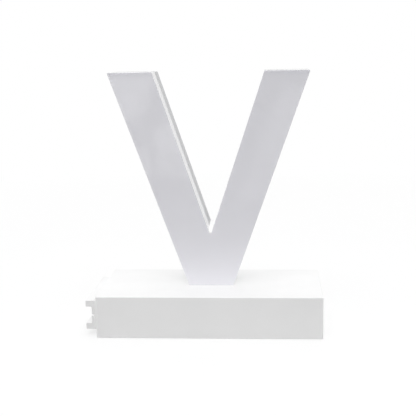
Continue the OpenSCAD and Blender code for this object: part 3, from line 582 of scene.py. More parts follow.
def screw_tree() -> ShapeTree:
    """A round-headed screw with a cross recess; its head stands on the point.

    Returns:
        The tree, whose inputs are the screw's sizes.
    """
    tree = ShapeTree("Cross screws", {
        "Head Radius": 2.3 * MM, "Head Height": 0.9 * MM, "Dome": 0.25 * MM, "Rim": 0.1,
        "Shank Radius": 1.25 * MM, "Shank Length": 8 * MM,
        "Cross Reach": 1.4 * MM, "Cross Width": 0.7 * MM, "Cross Depth": 0.6 * MM})
    given = tree.given
    head = tree.turned_disc(given["Head Radius"], given["Head Height"], given["Rim"],
                            given["Dome"], False)
    head = tree.raised(head, tree.math("DIVIDE", given["Head Height"], 2.0))
    top = tree.math("ADD", given["Head Height"], given["Dome"])
    width = given["Cross Width"]
    length = tree.math("MULTIPLY", given["Cross Reach"], 2.0)
    depth = tree.math("MULTIPLY", given["Cross Depth"], 2.0)
    cut = tree.add("GeometryNodeMeshBoolean", operation="DIFFERENCE", solver="EXACT")
    tree.tree.links.new(head, cut.inputs["Mesh 1"])
    for size in ((length, width, depth), (width, length, depth)):
        bar = tree.add("GeometryNodeMeshCube", Size=tree.vector(*size)).outputs[0]
        tree.tree.links.new(tree.raised(bar, top), cut.inputs["Mesh 2"])
    shank = tree.add("GeometryNodeMeshCylinder", Vertices=SHANK_POINTS,
                     Radius=given["Shank Radius"], Depth=given["Shank Length"]).outputs["Mesh"]
    shank = tree.raised(shank, tree.math("MULTIPLY", given["Shank Length"], -0.5))
    tree.close(tree.joined(cut.outputs[0], shank), math.pi / 2)
    return tree


def foot_tree() -> ShapeTree:
    """A rubber foot about its point, with both rims rounded.

    Returns:
        The tree, whose inputs are the foot's sizes.
    """
    tree = ShapeTree("Feet", {"Radius": 4 * MM, "Depth": 1.6 * MM, "Rim": 0.06})
    given = tree.given
    tree.close(tree.turned_disc(given["Radius"], given["Depth"], given["Rim"], 0.0, True), 0.0)
    return tree


def spring_tree() -> ShapeTree:
    """A conical contact spring that stands on its point.

    Returns:
        The tree, whose inputs are the spring's sizes.
    """
    tree = ShapeTree("Contact springs", {
        "Foot Radius": 4.2 * MM, "Tip Radius": 2.5 * MM, "Height": 4.9 * MM, "Turns": 4.0,
        "Wire Radius": 0.35 * MM})
    given = tree.given
    coil = tree.add("GeometryNodeCurveSpiral", Resolution=COIL_POINTS, Rotations=given["Turns"],
                    Start_Radius=given["Foot Radius"], End_Radius=given["Tip Radius"],
                    Height=given["Height"])
    wire = tree.add("GeometryNodeCurvePrimitiveCircle", Resolution=WIRE_POINTS,
                    Radius=given["Wire Radius"])
    body = tree.add("GeometryNodeCurveToMesh", Curve=coil.outputs[0],
                    Profile_Curve=wire.outputs[0], Fill_Caps=True)
    tree.close(tree.raised(body.outputs[0], given["Wire Radius"]), 0.0)
    return tree


# Finishes


def blank_material(name: str) -> bpy.types.Material:
    """Makes a material with an empty node tree.

    Args:
        name: the material's name.

    Returns:
        The material.
    """
    material = bpy.data.materials.new(name)
    material.use_nodes = True
    material.node_tree.nodes.clear()
    return material


class Shader:
    """A material's node tree under construction, round one Principled shader."""

    # Places of a Mix node's sockets when it mixes colours
    FIRST_COLOUR, SECOND_COLOUR, MIXED_COLOUR = 6, 7, 2

    def __init__(self, name: str) -> None:
        """Starts a material.

        Args:
            name: the material's name.
        """
        self.material = blank_material(name)
        self.tree = self.material.node_tree
        self.bsdf = self.tree.nodes.new("ShaderNodeBsdfPrincipled")
        out = self.tree.nodes.new("ShaderNodeOutputMaterial")
        self.tree.links.new(self.bsdf.outputs[0], out.inputs["Surface"])
        self.where = self.tree.nodes.new("ShaderNodeTexCoord").outputs["Object"]

    def set(self, **values: object) -> None:
        """Sets or links inputs of the Principled shader.

        Args:
            values: each input's value or link, with _ for a space in the input's name.
        """
        for label, value in values.items():
            socket = self.bsdf.inputs[label.replace("_", " ")]
            if isinstance(value, bpy.types.NodeSocket):
                self.tree.links.new(value, socket)
            else:
                socket.default_value = value

    def stretched(self, scale: Triple) -> bpy.types.NodeSocket:
        """Object coordinates drawn out along the axes.

        Args:
            scale: factors along X, Y and Z.

        Returns:
            The coordinates' socket.
        """
        node = self.tree.nodes.new("ShaderNodeMapping")
        node.inputs["Scale"].default_value = scale
        self.tree.links.new(self.where, node.inputs["Vector"])
        return node.outputs[0]

    def noise(self, size: float, detail: float = 2.0,
              where: bpy.types.NodeSocket | None = None) -> bpy.types.NodeSocket:
        """Cloudy noise.

        Args:
            size: size of its features, in millimetres.
            detail: levels of finer noise in it.
            where: coordinates, if not the object's own.

        Returns:
            A number about 0.5.
        """
        node = self.tree.nodes.new("ShaderNodeTexNoise")
        node.inputs["Scale"].default_value = 1 / (size * MM)
        node.inputs["Detail"].default_value = detail
        self.tree.links.new(where or self.where, node.inputs["Vector"])
        return node.outputs["Fac"]

    def span(self, value: bpy.types.NodeSocket, low: float, high: float, start: float = 0.3,
             end: float = 0.7) -> bpy.types.NodeSocket:
        """Takes a number from one range to another, and holds it there.

        Args:
            value: the number's socket.
            low: result where the number is at start or less.
            high: result where it is at end or more.
            start: start of the number's own range.
            end: end of it.

        Returns:
            The result's socket.
        """
        node = self.tree.nodes.new("ShaderNodeMapRange")
        ends = {"From Min": start, "From Max": end, "To Min": low, "To Max": high}
        for label, number in ends.items():
            node.inputs[label].default_value = number
        self.tree.links.new(value, node.inputs["Value"])
        return node.outputs["Result"]

    def blend(self, factor: bpy.types.NodeSocket, first: object,
              second: object) -> bpy.types.NodeSocket:
        """Mixes two colours.

        Args:
            factor: 0 for the first colour, 1 for the second one.
            first: a colour, plain or linked.
            second: the other colour.

        Returns:
            The mixed colour's socket.
        """
        node = self.tree.nodes.new("ShaderNodeMix")
        node.data_type = "RGBA"
        self.tree.links.new(factor, node.inputs["Factor"])
        for place, value in ((self.FIRST_COLOUR, first), (self.SECOND_COLOUR, second)):
            socket = node.inputs[place]
            if isinstance(value, bpy.types.NodeSocket):
                self.tree.links.new(value, socket)
            else:
                socket.default_value = (*value, 1.0)
        return node.outputs[self.MIXED_COLOUR]

    def bump(self, height: bpy.types.NodeSocket, depth: float,
             under: bpy.types.NodeSocket | None = None) -> bpy.types.NodeSocket:
        """A normal from a height.

        Args:
            height: the height's socket, from 0 to 1.
            depth: the height's full range, in millimetres.
            under: a normal that this one lies over.

        Returns:
            The normal's socket.
        """
        node = self.tree.nodes.new("ShaderNodeBump")
        node.inputs["Distance"].default_value = depth * MM
        self.tree.links.new(height, node.inputs["Height"])
        if under is not None:
            self.tree.links.new(under, node.inputs["Normal"])
        return node.outputs[0]


def shade(colour: Colour, factor: float) -> Colour:
    """A colour made darker or lighter."""
    return tuple(min(c * factor, 1.0) for c in colour)


@dataclass(frozen=True)
class MouldedPlastic:
    """An injection-moulded plastic: fine eroded grain, slow changes in tone, slight sinks.

    Sizes of features and depths are in millimetres; shares are of the noise that makes them.
    """

    name: str
    colour: Colour
    roughness: float
    grain: float = 0.45
    grain_depth: float = 0.012
    mottle: float = 0.015
    gloss: float = 0.25
    cloud: float = 34.0
    fleck: float = 0.9
    fleck_share: Pair = (0.68, 0.8)
    fleck_tone: float = 2.5
    patch: float = 7.0
    patch_spread: Pair = (-0.05, 0.06)
    sink: float = 26.0
    sink_depth: float = 0.03
    ior: float = 1.49

    def make(self) -> bpy.types.Material:
        """Builds the finish.

        Returns:
            The material.
        """
        s = Shader(self.name)
        dark, light = (shade(self.colour, 1 + side * self.mottle) for side in (-1, 1))
        tone = s.blend(s.span(s.noise(self.cloud, detail=3.0), 0.0, 1.0), dark, light)
        flecks = s.span(s.noise(self.fleck, detail=1.0), 0.0, 1.0, *self.fleck_share)
        low, high = (self.roughness + change for change in self.patch_spread)
        sinks = s.bump(s.noise(self.sink, detail=1.0), self.sink_depth)
        fleck = shade(self.colour, 1 - self.fleck_tone * self.mottle)
        s.set(Base_Color=s.blend(flecks, tone, fleck),
              Roughness=s.span(s.noise(self.patch, detail=4.0), low, high),
              IOR=self.ior, Specular_IOR_Level=self.gloss,
              Normal=s.bump(s.noise(self.grain, detail=2.0), self.grain_depth, sinks))
        return s.material


@dataclass(frozen=True)
class OpalAcrylic:
    """A moulded acrylic that scatters light, with the slight waves of its mould.

    Sizes of features and depths are in millimetres; shares are of the noise that makes them.
    """

    name: str
    colour: Colour
    roughness: float
    wave_depth: float
    mottle: float
    gloss: float = 0.5
    wave: float = 38.0
    cloud: float = 46.0
    speck: float = 1.4
    speck_share: Pair = (0.72, 0.8)
    speck_tone: float = 2.0
    patch: float = 11.0
    patch_spread: Pair = (-0.015, 0.025)
    grain: float = 2.2
    grain_depth: float = 0.0015
    scatter: float = 0.25
    scatter_reach: float = 2.0
    ior: float = 1.49

    def make(self) -> bpy.types.Material:
        """Builds the finish.

        Returns:
            The material.
        """
        s = Shader(self.name)
        dark, light = (shade(self.colour, 1 + side * self.mottle) for side in (-1, 1))
        tone = s.blend(s.span(s.noise(self.cloud, detail=2.0), 0.0, 1.0), dark, light)
        specks = s.span(s.noise(self.speck, detail=1.0), 0.0, 1.0, *self.speck_share)
        low, high = (self.roughness + change for change in self.patch_spread)
        waves = s.bump(s.noise(self.wave, detail=0.0), self.wave_depth)
        speck = shade(self.colour, 1 - self.speck_tone * self.mottle)
        s.set(Base_Color=s.blend(specks, tone, speck),
              Roughness=s.span(s.noise(self.patch, detail=5.0), low, high),
              IOR=self.ior, Specular_IOR_Level=self.gloss,
              Subsurface_Weight=self.scatter, Subsurface_Radius=(1.0, 1.0, 1.0),
              Subsurface_Scale=self.scatter_reach * MM,
              Normal=s.bump(s.noise(self.grain, detail=3.0), self.grain_depth, waves))
        return s.material


@dataclass(frozen=True)
class PlatedMetal:
    """A bright metal with fine streaks and a slight stain; sizes are in millimetres."""

    name: str
    colour: Colour
    roughness: float
    streak: float = 0.35
    streak_draw: Triple = (1.0, 1.0, 8.0)
    streak_depth: float = 0.004
    streak_spread: Pair = (-0.08, 0.12)
    stain: float = 2.6
    stain_tone: float = 0.82

    def make(self) -> bpy.types.Material:
        """Builds the finish.

        Returns:
            The material.
        """
        s = Shader(self.name)
        streaks = s.noise(self.streak, detail=3.0, where=s.stretched(self.streak_draw))
        stains = s.span(s.noise(self.stain, detail=3.0), 0.0, 1.0)
        low, high = (self.roughness + change for change in self.streak_spread)
        s.set(Base_Color=s.blend(stains, shade(self.colour, self.stain_tone), self.colour),
              Metallic=1.0, Roughness=s.span(streaks, low, high),
              Normal=s.bump(streaks, self.streak_depth))
        return s.material


@dataclass(frozen=True)
class Elastomer:
    """Rubber or lead cover: matt, with dust in its tone; sizes are in millimetres."""

    name: str
    colour: Colour
    dust: Colour
    roughness: float
    dust_patch: float = 3.0
    dust_share: Pair = (0.45, 0.75)
    dust_most: float = 0.6
    patch: float = 1.5
    patch_spread: Pair = (-0.08, 0.08)
    grain: float = 0.3
    grain_depth: float = 0.02
    gloss: float = 0.35

    def make(self) -> bpy.types.Material:
        """Builds the finish.

        Returns:
            The material.
        """
        s = Shader(self.name)
        dusty = s.span(s.noise(self.dust_patch, detail=5.0), 0.0, self.dust_most, *self.dust_share)
        low, high = (self.roughness + change for change in self.patch_spread)
        s.set(Base_Color=s.blend(dusty, self.colour, self.dust),
              Roughness=s.span(s.noise(self.patch, detail=2.0), low, high),
              Specular_IOR_Level=self.gloss,
              Normal=s.bump(s.noise(self.grain, detail=2.0), self.grain_depth))
        return s.material


@dataclass(frozen=True)
class SolderMask:
    """A circuit board's lacquer over copper tracks; sizes are in millimetres or in pitches."""

    name: str
    colour: Colour
    track: Colour
    pitch: float
    track_w: float = 0.06
    field_l: float = 2.6
    field_w: float = 0.8
    track_depth: float = 0.03
    cloud: float = 5.0
    cloud_tones: Pair = (0.85, 1.1)
    patch: float = 4.0
    patch_range: Pair = (0.28, 0.42)

    def make(self) -> bpy.types.Material:
        """Builds the finish.

        Returns:
            The material.
        """
        s = Shader(self.name)
        bricks = s.tree.nodes.new("ShaderNodeTexBrick")
        sizes = {"Scale": 1 / (self.pitch * MM), "Mortar Size": self.track_w,
                 "Brick Width": self.field_l, "Row Height": self.field_w}
        for label, value in sizes.items():
            bricks.inputs[label].default_value = value
        s.tree.links.new(s.where, bricks.inputs["Vector"])
        tracks = bricks.outputs["Fac"]
        dark, light = (shade(self.colour, factor) for factor in self.cloud_tones)
        tone = s.blend(s.span(s.noise(self.cloud, detail=3.0), 0.0, 1.0), dark, light)
        s.set(Base_Color=s.blend(tracks, tone, self.track),
              Roughness=s.span(s.noise(self.patch, detail=2.0), *self.patch_range),
              Normal=s.bump(tracks, self.track_depth))
        return s.material


@dataclass(frozen=True)
class PrintedSleeve:
    """A cell's printed sleeve, in bands along the cell, with bare metal at both ends.

    Places along the cell are shares of its length; sizes are in millimetres.
    """

    name: str
    body: Colour
    band: Colour
    metal: Colour
    sleeve_start: float = 0.012
    band_start: float = 0.70
    sleeve_end: float = 0.955
    wear: float = 6.0
    wear_most: float = 0.1
    patch: float = 2.0
    patch_range: Pair = (0.22, 0.38)

    def make(self) -> bpy.types.Material:
        """Builds the finish; the piece's attribute along is 0 at the flat end and 1 at the nub.

        Returns:
            The material.
        """
        s = Shader(self.name)
        along = s.tree.nodes.new("ShaderNodeAttribute")
        along.attribute_name = "along"
        printed = self.banded(s, along.outputs["Fac"], (
            (0.0, self.metal), (self.sleeve_start, self.body), (self.band_start, self.band),
            (self.sleeve_end, self.metal)))
        bare = self.banded(s, along.outputs["Fac"], (
            (0.0, (1, 1, 1)), (self.sleeve_start, (0, 0, 0)), (self.sleeve_end, (1, 1, 1))))
        worn = s.span(s.noise(self.wear, detail=4.0), 0.0, self.wear_most)
        s.set(Base_Color=s.blend(worn, printed, self.metal), Metallic=bare,
              Roughness=s.span(s.noise(self.patch, detail=3.0), *self.patch_range))
        return s.material

    @staticmethod
    def banded(s: Shader, along: bpy.types.NodeSocket,
               stops: Iterable[tuple[float, Colour]]) -> bpy.types.NodeSocket:
        """Bands of colour with sharp borders.

        Args:
            s: the material that they are part of.
            along: place along the bands.
            stops: where each band starts, and its colour.

        Returns:
            The colour's socket.
        """
        node = s.tree.nodes.new("ShaderNodeValToRGB")
        ramp = node.color_ramp
        ramp.interpolation = "CONSTANT"
        for i, (at, colour) in enumerate(stops):
            stop = ramp.elements[i] if i < 2 else ramp.elements.new(at)
            stop.position, stop.color = at, (*colour, 1.0)
        s.tree.links.new(along, node.inputs[0])
        return node.outputs[0]


class Finishes:
    """Every finish of the object, made once."""

    def __init__(self) -> None:
        """Builds the materials."""
        self.white = MouldedPlastic("white_satin", (0.845, 0.845, 0.845), 0.42).make()
        self.hook = MouldedPlastic("hook_matte", (0.83, 0.83, 0.83), 0.5).make()
        self.opal = OpalAcrylic("opal_polished", (0.716, 0.713, 0.75), 0.06, 0.03, 0.008).make()
        # The cap's sides, top and notch: satin, in a lighter colour than the face, which is painted
        # light there
        self.opal_side_painted_light = OpalAcrylic("opal_satin_painted_light", (0.77, 0.77, 0.776), 0.2, 0.03, 0.01,
                                     gloss=0.35).make()
        self.grey = MouldedPlastic("grey_satin", (0.535, 0.54, 0.545), 0.4, mottle=0.02).make()
        self.black = MouldedPlastic("black_matte", (0.022, 0.022, 0.024), 0.45, mottle=0.1).make()
        self.paint = MouldedPlastic("mark_paint", (0.12, 0.12, 0.125), 0.55, mottle=0.05).make()
        # The notch's white bead: its white over the grey housing is painted light in the notch's
        # root
        self.notch_light_fill = MouldedPlastic("white_notch_light_fill", (0.86, 0.86, 0.86), 0.35, grain=1.2,
                                      mottle=0.01).make()
        self.pale = MouldedPlastic("pale_plastic", (0.74, 0.74, 0.70), 0.45).make()
        self.rubber = Elastomer("foot_rubber", (0.03, 0.03, 0.032), (0.11, 0.11, 0.11), 0.75).make()
        self.steel = PlatedMetal("zinc_steel", (0.66, 0.67, 0.69), 0.3).make()
        self.brass = PlatedMetal("tinned_brass", (0.76, 0.60, 0.32), 0.28).make()
        self.can = PlatedMetal("plain_can", (0.78, 0.79, 0.80), 0.35).make()
        self.phenolic = MouldedPlastic("phenolic", (0.22, 0.09, 0.035), 0.55, mottle=0.12).make()
        self.board = SolderMask("green_board", (0.012, 0.12, 0.045), (0.03, 0.24, 0.09), 2.4).make()
        self.strip = SolderMask("white_board", (0.80, 0.81, 0.78), (0.70, 0.71, 0.68), 3.0).make()
        self.lamp = MouldedPlastic("lamp_window", (0.86, 0.70, 0.22), 0.2, mottle=0.06).make()
        self.sleeve = PrintedSleeve("cell_sleeve", (0.03, 0.06, 0.13), (0.55, 0.33, 0.14),
                                    (0.7, 0.7, 0.71)).make()
        self.red = Elastomer("red_lead", (0.42, 0.012, 0.012), (0.5, 0.05, 0.05), 0.4).make()
        self.dark = Elastomer("black_lead", (0.02, 0.02, 0.02), (0.05, 0.05, 0.05), 0.4).make()
        self.light = Elastomer("white_lead", (0.72, 0.72, 0.70), (0.6, 0.6, 0.58), 0.4).make()


# The object's sub-assemblies; sizes are in millimetres


@dataclass(frozen=True)
class BaseBlock:
    """The white block: shell, bottom cover, rubber feet and cover screws."""

    half_w: float = 85.0
    half_d: float = 42.0
    low: float = 0.6
    high: float = 32.1
    wall: float = 2.4
    ceiling: float = 29.5
    corner: float = 1.2
    corner_steps: int = 6
    edge: float = 0.45
    rim: float = 0.25
    middle: float = 16.35
    socket_half: Pair = (37.2, 12.8)
    socket_corner: float = 0.4
    door_x: float = -41.25
    door_half: float = 30.35
    door_low: float = -5.0
    door_top: float = 3.2
    door_corner: float = 0.2
    switch_x: float = 40.0
    travel: float = 4.0
    window_half: Pair = (4.3, 2.5)
    window_corner: float = 0.3
    screw_x: float = 9.8
    recess_r: float = 2.0
    recess_depth: float = 1.1
    recess_rim: float = 0.15
    mark_rise: float = 6.0
    mark_h: float = 3.2
    mark_stroke: float = 0.7
    mark_corner: float = 0.1
    mark_depth: float = 0.3
    mark_slack: float = 0.02
    cover_edge: float = 0.2
    cover_shortest: float = 3.0
    cover_seat: float = 1.8
    cover_shank: float = 10.0
    foot_level: float = 0.8
    feet: Sequence[Pair] = ((0, 0), (-77, -26), (-77, 26), (77, -26), (77, 26))
    cover_screws: Sequence[Pair] = tuple((x, y) for x in (-78.5, 0.0, 68.1) for y in (-35.5, 35.5))

    def shell(self, finishes: Finishes) -> None:
        """Builds the shell with its openings in the back and the right end.

        Args:
            finishes: the object's finishes.
        """
        outer = rectangle((-self.half_w, -self.half_d), (self.half_w, self.half_d),
                          self.corner, self.corner_steps)
        shape = bmesh.new()
        stations = rounded_end(self.high, self.edge, -1) + rounded_end(self.low, self.rim, 1)[::-1]
        stations += [(self.low, self.wall), (self.ceiling, self.wall)]
        loft(shape, outer, stations, along_z)
        piece = new_piece("base_block", shape)
        combine(piece, self.openings(), Join.CUT)
        combine(piece, self.fine_cuts(), Join.CUT)
        smooth(piece)
        dress(piece, finishes.white, finishes.paint)
        self.paint_marks(piece)
        mount(piece, Body.BASE, Slot.WHITE, "base_shell")

    def openings(self) -> bmesh.types.BMesh:
        """The socket's opening, the gap for the battery door and the knob's window.

        Returns:
            Solids that cut them out, with eased rims.
        """
        half_l, half_h = self.socket_half
        socket = rectangle((-half_l, self.middle - half_h), (half_l, self.middle + half_h),
                           self.socket_corner)
        door = rectangle((self.door_x - self.door_half, self.door_low),
                         (self.door_x + self.door_half, self.door_top), self.door_corner)
        half_l, half_h = self.window_half
        window = rectangle((self.switch_x - half_l, self.middle - half_h),
                           (self.switch_x + half_l, self.middle + half_h), self.window_corner)
        cutter = bmesh.new()
        for outline, end, place in ((socket, self.half_w, along_x), (door, self.half_d, along_y),
                                    (window, self.half_d, along_y)):
            loft(cutter, outline, eased_cut(end, 2 * self.wall, self.rim), place)
        return cutter

    def fine_cuts(self) -> bmesh.types.BMesh:
        """The recesses of the switch screws and the off and on marks in the back.

        Returns:
            Solids that cut them out.
        """
        cutter = bmesh.new()
        back = self.half_d
        for side in (-1, 1):
            head = Round(self.recess_r, (self.switch_x + side * self.screw_x, self.middle))
            loft(cutter, head, eased_cut(back, self.recess_depth, self.recess_rim), along_y)
        level = self.middle + self.mark_rise
        bar_x, ring_x = (self.switch_x + side * self.travel / 2 for side in (1, -1))
        half_w, half_h = self.mark_stroke / 2, self.mark_h / 2
        bar = rectangle((bar_x - half_w, level - half_h), (bar_x + half_w, level + half_h),
                        self.mark_corner)
        stations = [(back - self.mark_depth, 0.0), (back + PAST, 0.0)]
        loft(cutter, bar, stations, along_y)
        disc, core = bmesh.new(), bmesh.new()
        loft(disc, Round(half_h, (ring_x, level)), stations, along_y)
        loft(core, Round(half_h - self.mark_stroke, (ring_x, level)),
             [(back - PAST, 0.0), (back + 2 * PAST, 0.0)], along_y)
        ring = new_piece("mark_ring", disc)
        combine(ring, core, Join.CUT)
        cutter.from_mesh(ring.data)
        bpy.data.objects.remove(ring)
        return cutter

    def paint_marks(self, piece: bpy.types.Object) -> None:
        """Gives the floor of both marks the second material.

        Args:
            piece: the finished shell.
        """
        floor, level = self.half_d - self.mark_depth, self.middle + self.mark_rise
        between = Vector((self.switch_x, floor, level))
        for face in piece.data.polygons:
            x, y, z = face.center / MM - between
            if abs(x) < 2 * self.travel and abs(y) < self.mark_slack and abs(z) < self.mark_h:
                face.material_index = 1

    def underside(self, finishes: Finishes) -> None:
        """Builds the bottom cover, its screws and the feet.

        Args:
            finishes: the object's finishes.
        """
        cover = softened("bottom_cover_plate", "bottom_cover", self.cover_edge, self.cover_shortest)
        dress(cover, finishes.white)
        mount(cover, Body.BASE, Slot.WHITE, "bottom_cover")
        places = [(x, y, self.cover_seat) for x, y in self.cover_screws]
        screws = screw_tree().grow("cover_cross_screws", places, [Facing.DOWN] * len(places),
                                   {"Shank Length": self.cover_shank * MM}, finishes.steel)
        mount(screws, Body.BASE, Slot.STEEL, "cover_screws")
        places = [(x, y, self.foot_level) for x, y in self.feet]
        feet = foot_tree().grow("rubber_foot_discs", places, [Facing.DOWN] * len(places), {},
                                finishes.rubber)
        mount(feet, Body.BASE, Slot.RUBBER, "rubber_feet")

    def build(self, finishes: Finishes) -> None:
        """Builds every piece of the block."""
        self.shell(finishes)
        self.underside(finishes)


@dataclass(frozen=True)
class CellTray:
    """The battery door, the three cells and their springs.

    The profile of a cell is place along it, from its flat end, and how far its surface is inside
    the radius.
    """

    middle_x: float = -41.25
    half_l: float = 28.45
    contact: float = 0.4
    spring: float = 5.6
    level: float = 10.85
    rows: Sequence[float] = (-1.5, 13.9, 29.3)
    turned: int = 1
    radius: float = 7.25
    length: float = 50.5
    profile: Sequence[Pair] = (
        (0.0, 2.2), (0.0, 0.9), (0.25, 0.35), (0.7, 0.0), (47.6, 0.0), (48.2, 0.15), (48.5, 0.5),
        (48.7, 1.0), (49.0, 2.6), (49.3, 4.35), (49.5, 4.5), (50.2, 4.55), (50.42, 4.8),
        (50.5, 5.25))
    steps: int = 40
    crease: float = 30.0
    nodes: Sequence[str] = ("cell_front", "cell_middle", "cell_back")
    door_edge: float = 0.2
    door_shortest: float = 0.8

    def way(self, index: int) -> int:
        """+1 for a cell with its flat end on the left, or -1 for one that is turned round."""
        return -1 if index == self.turned else 1

    def cell(self, index: int, finishes: Finishes) -> None:
        """Builds one cell.

        Args:
            index: the cell's row, counted from the front.
            finishes: the object's finishes.
        """
        way = self.way(index)
        start = self.middle_x - way * (self.half_l - self.contact - self.spring)
        shape = bmesh.new()
        outline = Round(self.radius, (self.rows[index], self.level), self.steps)
        loft(shape, outline, [(start + way * at, inset) for at, inset in self.profile], along_x)
        piece = new_piece(f"{self.nodes[index]}_sleeved", shape)
        smooth(piece, self.crease)
        along = piece.data.attributes.new("along", "FLOAT", "POINT")
        share = [way * (v.co.x / MM - start) / self.length for v in piece.data.vertices]
        along.data.foreach_set("value", share)
        dress(piece, finishes.sleeve)
        mount(piece, Body.BASE, Slot.CELL, self.nodes[index])

    def build(self, finishes: Finishes) -> None:
        """Builds the door, the cells and the springs.

        Args:
            finishes: the object's finishes.
        """
        door = softened("battery_door_slide", "battery_door", self.door_edge, self.door_shortest)
        dress(door, finishes.white)
        mount(door, Body.DOOR, Slot.WHITE, "battery_door")
        reach = self.half_l - self.contact
        places, facings = [], []
        for index, y in enumerate(self.rows):
            self.cell(index, finishes)
            places.append((self.middle_x - self.way(index) * reach, y, self.level))
            facings.append(Facing.RIGHT if self.way(index) > 0 else Facing.LEFT)
        springs = spring_tree().grow("cell_springs", places, facings, {}, finishes.steel)
        mount(springs, Body.BASE, Slot.STEEL, "contact_springs")


@dataclass(frozen=True)
class Coupling:
    """The plate with two angle rails on the left end and the socket in the right end."""

    end: float = -85.0
    plate: float = 2.6
    leg: float = 1.8
    tongue: float = 4.5
    half_l: float = 35.5
    half_h: float = 11.1
    tongue_t: float = 4.7
    gap: float = 1.2
    middle: float = 16.35
    screw_y: float = 24.0
    screw_z: float = 3.5
    fillet: float = 0.9
    edge: float = 0.35
    head_r: float = 2.35
    head_depth: float = 1.2
    head_reach: float = 2.0
    shank: float = 10.0
    plate_edge: float = 0.3
    plate_shortest: float = 3.0
    socket_edge: float = 0.25
    socket_shortest: float = 1.0

    def rail(self, side: int, finishes: Finishes) -> None:
        """Builds one rail.

        Args:
            side: +1 for the upper rail, or -1 for the lower one.
            finishes: the object's finishes.
        """
        back, front = self.end - self.plate, self.end - self.plate - self.leg
        tip = front - self.tongue
        top, inner, low = self.half_h, self.half_h - self.tongue_t, self.gap / 2
        points = [(back, low), (back, top), (tip, top), (tip, inner), (front, inner), (front, low)]
        radii = [self.edge / 2, self.edge / 2, self.edge, self.edge, self.fillet, self.edge]
        level = [(x, self.middle + side * z) for x, z in points]
        if side < 0:
            level, radii = level[::-1], radii[::-1]
        shape = bmesh.new()
        stations = rounded_ends(-self.half_l, self.half_l, self.edge)
        loft(shape, Cornered(level, radii), stations, along_y)
        name = "upper" if side > 0 else "lower"
        piece = new_piece(f"{name}_angle_rail", shape)
        cutter = bmesh.new()
        stations = [(front - self.head_reach, 0.0), (front + self.head_depth, 0.0)]
        for y in (-self.screw_y, self.screw_y):
            head = Round(self.head_r, (y, self.middle + side * self.screw_z))
            loft(cutter, head, stations, along_x)
        combine(piece, cutter, Join.CUT)
        smooth(piece)
        dress(piece, finishes.hook)
        mount(piece, Body.BASE, Slot.HOOK, f"{name}_hook")

    def build(self, finishes: Finishes) -> None:
        """Builds the plate, both rails, their screws and the socket.

        Args:
            finishes: the object's finishes.
        """
        plate = softened("coupling_back_plate", "coupling_plate", self.plate_edge,
                         self.plate_shortest)
        dress(plate, finishes.white)
        mount(plate, Body.BASE, Slot.WHITE, "coupling_plate")
        for side in (1, -1):
            self.rail(side, finishes)
        seat = self.end - self.plate - self.leg + self.head_depth
        places = [(seat, y, self.middle + z) for y in (-self.screw_y, self.screw_y)
                  for z in (-self.screw_z, self.screw_z)]
        screws = screw_tree().grow("rail_cross_screws", places, [Facing.LEFT] * len(places),
                                   {"Shank Length": self.shank * MM}, finishes.steel)
        mount(screws, Body.BASE, Slot.STEEL, "hook_screws")
        socket = softened("coupling_socket_insert", "coupling_socket", self.socket_edge,
                          self.socket_shortest)
        dress(socket, finishes.white)
        mount(socket, Body.BASE, Slot.WHITE, "coupling_socket")


@dataclass(frozen=True)
class SlideSwitch:
    """The knob with its grip ridges and the two screws beside it."""

    x: float = 38.0
    level: float = 16.35
    half_w: float = 2.0
    half_h: float = 2.2
    inner: float = 34.9
    tip: float = 44.4
    edge: float = 0.1
    tip_corner: float = 0.3
    ridges: int = 4
    ridge_corner: float = 0.15
    groove: float = 0.5
    groove_depth: float = 0.4
    groove_corner: float = 0.12
    slider_half: Pair = (3.5, 2.7)
    slider_y: Pair = (34.9, 38.8)
    slider_edge: float = 0.2
    screw_x: Pair = (30.2, 49.8)
    screw_seat: float = 40.9
    screw_sizes: Sequence[tuple[str, float]] = (
        ("Head Radius", 1.8), ("Head Height", 0.75), ("Dome", 0.25), ("Shank Radius", 1.0),
        ("Shank Length", 3.0), ("Cross Reach", 1.15), ("Cross Width", 0.6), ("Cross Depth", 0.5))

    def outline(self) -> Cornered:
        """The knob seen from above.

        Returns:
            A tongue with grooves across its tip.
        """
        left, right = self.x - self.half_w, self.x + self.half_w
        floor, pitch = self.tip - self.groove_depth, 2 * self.half_w / self.ridges
        points: list[Pair] = [(left, self.inner), (right, self.inner), (right, self.tip)]
        radii = [self.edge, self.edge, self.tip_corner]
        for i in reversed(range(1, self.ridges)):
            near, far = (left + i * pitch + side * self.groove / 2 for side in (1, -1))
            points += [(near, self.tip), (near, floor), (far, floor), (far, self.tip)]
            radii += [self.ridge_corner, self.groove_corner, self.groove_corner, self.ridge_corner]
        return Cornered([*points, (left, self.tip)], [*radii, self.tip_corner])

    def build(self, finishes: Finishes) -> None:
        """Builds the knob and the screws.

        Args:
            finishes: the object's finishes.
        """
        shape = bmesh.new()
        low, high = self.level - self.half_h, self.level + self.half_h
        loft(shape, self.outline(), rounded_ends(low, high, self.edge), along_z)
        knob = new_piece("knob_ridged", shape)
        slider = bmesh.new()
        half_w, half_h = self.slider_half
        block = rectangle((self.x - half_w, self.level - half_h),
                          (self.x + half_w, self.level + half_h), self.slider_edge)
        loft(slider, block, rounded_ends(*self.slider_y, self.slider_edge), along_y)
        combine(knob, slider, Join.ADD)
        smooth(knob)
        dress(knob, finishes.black)
        mount(knob, Body.KNOB, Slot.BLACK, "switch_knob")
        places = [(x, self.screw_seat, self.level) for x in self.screw_x]
        sizes = {label: size * MM for label, size in self.screw_sizes}
        screws = screw_tree().grow("switch_cross_screws", places, [Facing.BACK] * len(places),
                                   sizes, finishes.steel)
        mount(screws, Body.BASE, Slot.STEEL, "switch_screws")


